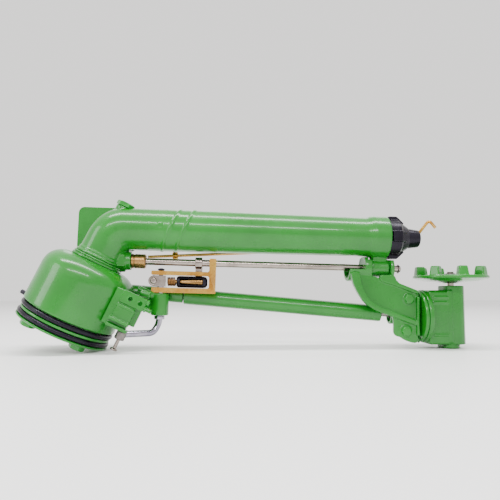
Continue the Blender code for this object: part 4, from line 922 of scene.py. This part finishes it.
# ---- gearbox ----
def gearbox():
    body = box("gear_case", GEARBOX, (-42.0, -20.0, -40.0), (10.0, 20.0, 36.0), 3.0)
    parts = [turned("case_flange", GEARBOX @ TO_X, [(0, -48.0), (37.0, -48.0), (38.0, -47.0),
                                                    (38.0, -42.0), (36.0, -41.0), (0, -41.0)],
                    steps=128),
             box("turret_middle", GEARBOX, (-14.8, -7.0, -40.0), (14.8, 7.0, 44.0), 0.6),
             box("foot_middle", GEARBOX, (-18.4, -7.0, FOOT_Z), (6.4, 7.0, -38.0), 0.6),
             box("top_step", GEARBOX, (-40.0, -17.0, 33.0), (-14.0, 17.0, 37.5), 1.0),
             box("mid_step", GEARBOX, (-14.0, -21.0, -37.0), (-8.0, 21.0, 37.5), 1.0)]
    for y in (-7.0, 7.0):
        parts.append(rod("turret", GEARBOX, (0, y, -40.0), (0, y, 44.0), 14.8, 1.2, 96))
        parts.append(rod("foot", GEARBOX, (-6.0, y, FOOT_Z), (-6.0, y, -38.0), 12.4, 1.2, 96))
    for z in (26.0, 18.5, -28.0):
        parts.append(box("case_rib", GEARBOX, (-36.0, -21.2, z), (-14.0, 21.2, z + 3.0), 0.8))
    cast(body, *parts, voxel=0.7, soften=4, keep=0.40)
    cut(body, rod("gear_chamber", GEARBOX, (-60.0, 0, 0), (-12.0, 0, 0), 18.4, 0.0),
        rod("pinion_chamber", GEARBOX, (0, 0, -34.0), (0, 0, 30.0), 12.2, 0.0),
        rod("hole", GEARBOX, (0, 0, 20.0), (0, 0, 50.0), 9.0, 0.0),
        box("level", GEARBOX, (-80.0, -60.0, -90.0), (80.0, 60.0, FOOT_Z), 0.0),
        *[rod("hole", GEARBOX, (-49.0, y, z), (-30.0, y, z), 2.7, 0.0) for y, z in FLANGE_SCREWS])
    show(body, "gearbox_housing", crease=50)


def gearbox_cover():
    cover = turned("case_cover", GEARBOX @ TO_X, [(0, -53.3), (35.8, -53.3), (37.0, -52.1),
                                                  (37.0, -49.0), (36.4, -48.3), (0, -48.3)],
                   steps=128)
    nose = box("shaft_support", GEARBOX, (-84.0, -12.6, -29.0), (-52.0, 10.0, 29.0), 2.0)
    cast(cover, nose, voxel=0.7, soften=3, keep=0.45)
    cut(cover, rod("hole", GEARBOX, (-100.0, 0, 0), (-40.0, 0, 0), 5.3, 0.0),
        rod("cup_clearance", GEARBOX, (-100.0, 0, 0), (-72.0, 0, 0), 12.4, 0.0))
    for x, z in ARM_BOLTS:
        cut(cover, rod("hole", SWING, (x, -30.0, z), (x, 30.0, z), 3.4, 0.0))
    for y, z in FLANGE_SCREWS:
        cut(cover, rod("hole", GEARBOX, (-60.0, y, z), (-40.0, y, z), 2.7, 0.0),
            rod("pocket", GEARBOX, (-60.0, y, z), (-53.4, y, z), 5.2, 0.0))
    show(cover, "gearbox_cover", crease=50)
    for index, (y, z) in enumerate(FLANGE_SCREWS):
        here = GEARBOX @ Matrix.Translation(Vector((0, y, z)) * MM) @ TO_X
        head = turned(f"case_screw_{index + 1}", here, [(0, -55.8), (3.6, -55.7), (4.6, -54.8),
                      (4.6, -53.6), (2.5, -53.6), (2.5, -32.0), (0, -32.0)], steps=48, soft=0.4)
        cut(head, prism("socket", here, hexagon(2.2), -58.0, -54.6))
        show(head, f"cover_screw_{index + 1}")


def output_cup():
    cup = turned("output_socket", GEARBOX @ TO_X, [(0, -95.0), (10.6, -95.0), (11.4, -94.2),
                 (11.4, -79.0), (10.8, -76.0), (9.0, -74.0), (9.0, -72.3), (0, -72.3)],
                 False, 64, 0.3)
    cut(cup, rod("hollow", GEARBOX, (-100.0, 0, 0), (-77.6, 0, 0), 8.4, 0.0))
    show(cup, "output_cup")


def turbine():
    """Dished wheel with upright vanes round its rim, its spindle bearing and nut."""
    rim = [(0.0, 57.3), (9.0, 57.3), (11.0, 56.8), (38.0, 57.8), (50.6, 59.4), (TURBINE_R, 58.4),
           (TURBINE_R, 55.2), (51.6, 54.4), (38.0, 51.2), (12.0, 48.6), (9.5, 47.8), (0.0, 47.8)]
    wheel = turned("turbine_disc", GEARBOX, rim, False, 160, 0.8)
    vanes = []
    for index in range(VANES):
        here = GEARBOX @ turn(360.0 * index / VANES - 5.0, "Z")
        rings = []
        for height, shrink in ((55.6, 1.0), (62.0, 0.94), (69.6, 0.82), (71.4, 0.76), (72.0, 0.66)):
            corners = round_corners(VANE_FOOT, 1.6, True)
            rings.append([(VANE_R + p.x * shrink, p.y * shrink, height) for p in corners])
        vanes.append(loft("vane", here, rings))
    cast(wheel, *vanes, voxel=0.7, soften=3, keep=0.40)
    cut(wheel, rod("hole", GEARBOX, (0, 0, 40.0), (0, 0, 70.0), 4.9, 0.0))
    show(wheel, "turbine_wheel", crease=50)
    nut = hex_head("wheel_lock_nut", GEARBOX, 8.6, 58.0, 62.4, True)
    cut(nut, rod("hole", GEARBOX, (0, 0, 50.0), (0, 0, 70.0), 4.8, 0.0))
    show(nut, "wheel_nut")
    show(ring("spindle_seat_bearing", GEARBOX, 5.3, 8.7, 31.0, 43.6, 0.5), "spindle_bearing")


# ---- drive tube, jet breaker ----
def drive_parts():
    tube_end = 297.2
    profile = [(9.6, 10.0), (11.0, 10.0), (TUBE_R, 10.7), (TUBE_R, tube_end - 0.7),
               (11.0, tube_end), (9.6, tube_end)]
    show(turned("guard_pipe", DRIVE @ TO_X, profile, True, 96, 0.3), "drive_tube")
    direction = Vector((64.0, 0, -3.5)).normalized()
    centre = BARREL.inverted() @ DRIVE.translation / MM
    here = BARREL @ Matrix.Translation(centre * MM) @ along(direction)
    socket = turned("input_coupling", here, [(7.6, 8.0), (9.6, 8.0), (10.2, 7.4), (10.2, -11.4),
                    (9.6, -12.0), (5.0, -12.0), (5.0, -81.0), (0, -81.0), (0, -6.0), (7.6, -6.0)],
                    soft=0.3)
    show(socket, "input_shaft")


def jet_breaker():
    corners = [(0, 0, 0), (382.0, 0, 0), (402.0, -18.0, 9.0), (421.0, -34.0, 36.0),
               (429.5, -35.0, 24.0)]
    rod_wire = wire("breaker_wire", BREAKER, rounded_path(corners, 6.0, 12), 2.2)
    show(rod_wire, "jet_breaker_rod")


def clips():
    into_barrel = BARREL.inverted() @ BREAKER
    for side, x in (("rear", 40.0), ("front", 300.0)):
        place = into_barrel @ (Vector((x, 0, 0)) * MM) / MM
        loop = ring(f"breaker_loop_{side}", BREAKER @ TO_X, 2.6, 5.0, x - 4.0, x + 4.0, 0.6, 48)
        inward = Vector((place.x, 0, 0)) - place
        foot = inward.length - barrel_radius(place.x) - GAP
        step = inward.normalized()
        leg = rod("leg", BARREL, place + step * 3.6, place + step * foot, 3.2, 0.4, 32)
        pad = rod("pad", BARREL, place + step * (foot - 1.2), place + step * foot, 4.6, 0.4, 32)
        show(gather(loop, [leg, pad]), f"breaker_clip_{side}")


# ---- stage ----
def stage():
    floor_mesh = bpy.data.meshes.new("floor")
    half = 4.0
    floor_mesh.from_pydata([(-half, -half, 0), (half, -half, 0), (half, half, 0), (-half, half, 0)],
                           [], [(0, 1, 2, 3)])
    floor = bpy.data.objects.new("floor", floor_mesh)
    bpy.context.scene.collection.objects.link(floor)
    floor.location.z = -0.0002
    paper = Shader("floor_paper", (0.86, 0.855, 0.85), 0.45)
    grain = paper.noise(3.0, 2.0)
    paper.link(paper.ramp(grain, (0.2, (0.84, 0.835, 0.83)), (0.8, (0.88, 0.875, 0.87))),
               paper.bsdf.inputs["Base Color"])
    floor.data.materials.append(paper.material)


def light(name, place, target, size, power):
    data = bpy.data.lights.new(name, "AREA")
    data.shape = "RECTANGLE"
    data.size, data.size_y = size
    data.energy = power
    obj = bpy.data.objects.new(name, data)
    bpy.context.scene.collection.objects.link(obj)
    obj.location = place
    obj.rotation_euler = (Vector(target) - Vector(place)).to_track_quat("-Z", "Y").to_euler()


def lights():
    middle = Vector((0, 0, 0.12))
    light("top_bank", (0.0, -0.15, 1.6), middle, (2.2, 0.22), 46)
    light("front_strip", (-0.25, -1.5, 1.15), middle, (1.8, 0.14), 24)
    light("left_fill", (-1.7, -0.6, 0.8), middle, (0.6, 0.9), 12)
    light("back_fill", (0.2, 1.6, 1.2), middle, (2.0, 0.7), 9)
    world = bpy.data.worlds.new("studio")
    bpy.context.scene.world = world
    world.use_nodes = True
    world.node_tree.nodes["Background"].inputs["Color"].default_value = (1.0, 0.985, 0.97, 1.0)
    world.node_tree.nodes["Background"].inputs["Strength"].default_value = 1.4


def camera():
    data = bpy.data.cameras.new("camera")
    data.lens = 36.0
    data.sensor_width = 36.0
    obj = bpy.data.objects.new("camera", data)
    bpy.context.scene.collection.objects.link(obj)
    obj.location = CORNER + Vector((0.1453, -0.720, -0.0900))
    yaw, pitch = math.radians(3.9), math.radians(4.8)
    look = Vector((math.sin(yaw) * math.cos(pitch), math.cos(yaw) * math.cos(pitch),
                   math.sin(pitch)))
    obj.rotation_euler = look.to_track_quat("-Z", "Y").to_euler()
    bpy.context.scene.camera = obj


def dress_cad_nodes():
    """CAD nodes that stay on show, mostly inside, take the same materials."""
    for name, obj in frame["nodes"].items():
        obj.data.materials.clear()
        obj.data.materials.append(MATERIALS[SLOT_OF[name]])


dress_cad_nodes()
base_flange()
base_bolts()
inlet_spindle()
stop_ring("stop_wire_upper", "sector_ring_upper", RING_UPPER_Z, 152.0, 0.0)
stop_ring("stop_wire_lower", "sector_ring_lower", RING_LOWER_Z, 132.0, RING_UPPER_Z - RING_LOWER_Z)
base_housing()
neck_ring()
barrel_body()
gauge_plug()
rear_plate()
shaft_bearings()
nozzle_parts()
trip_bracket()
crank()
crank_arm()
toggle_frame()
toggle_parts()
swing_shaft()
swing_arm()
gearbox()
gearbox_cover()
output_cup()
turbine()
drive_parts()
jet_breaker()
clips()
stage()
lights()
camera()
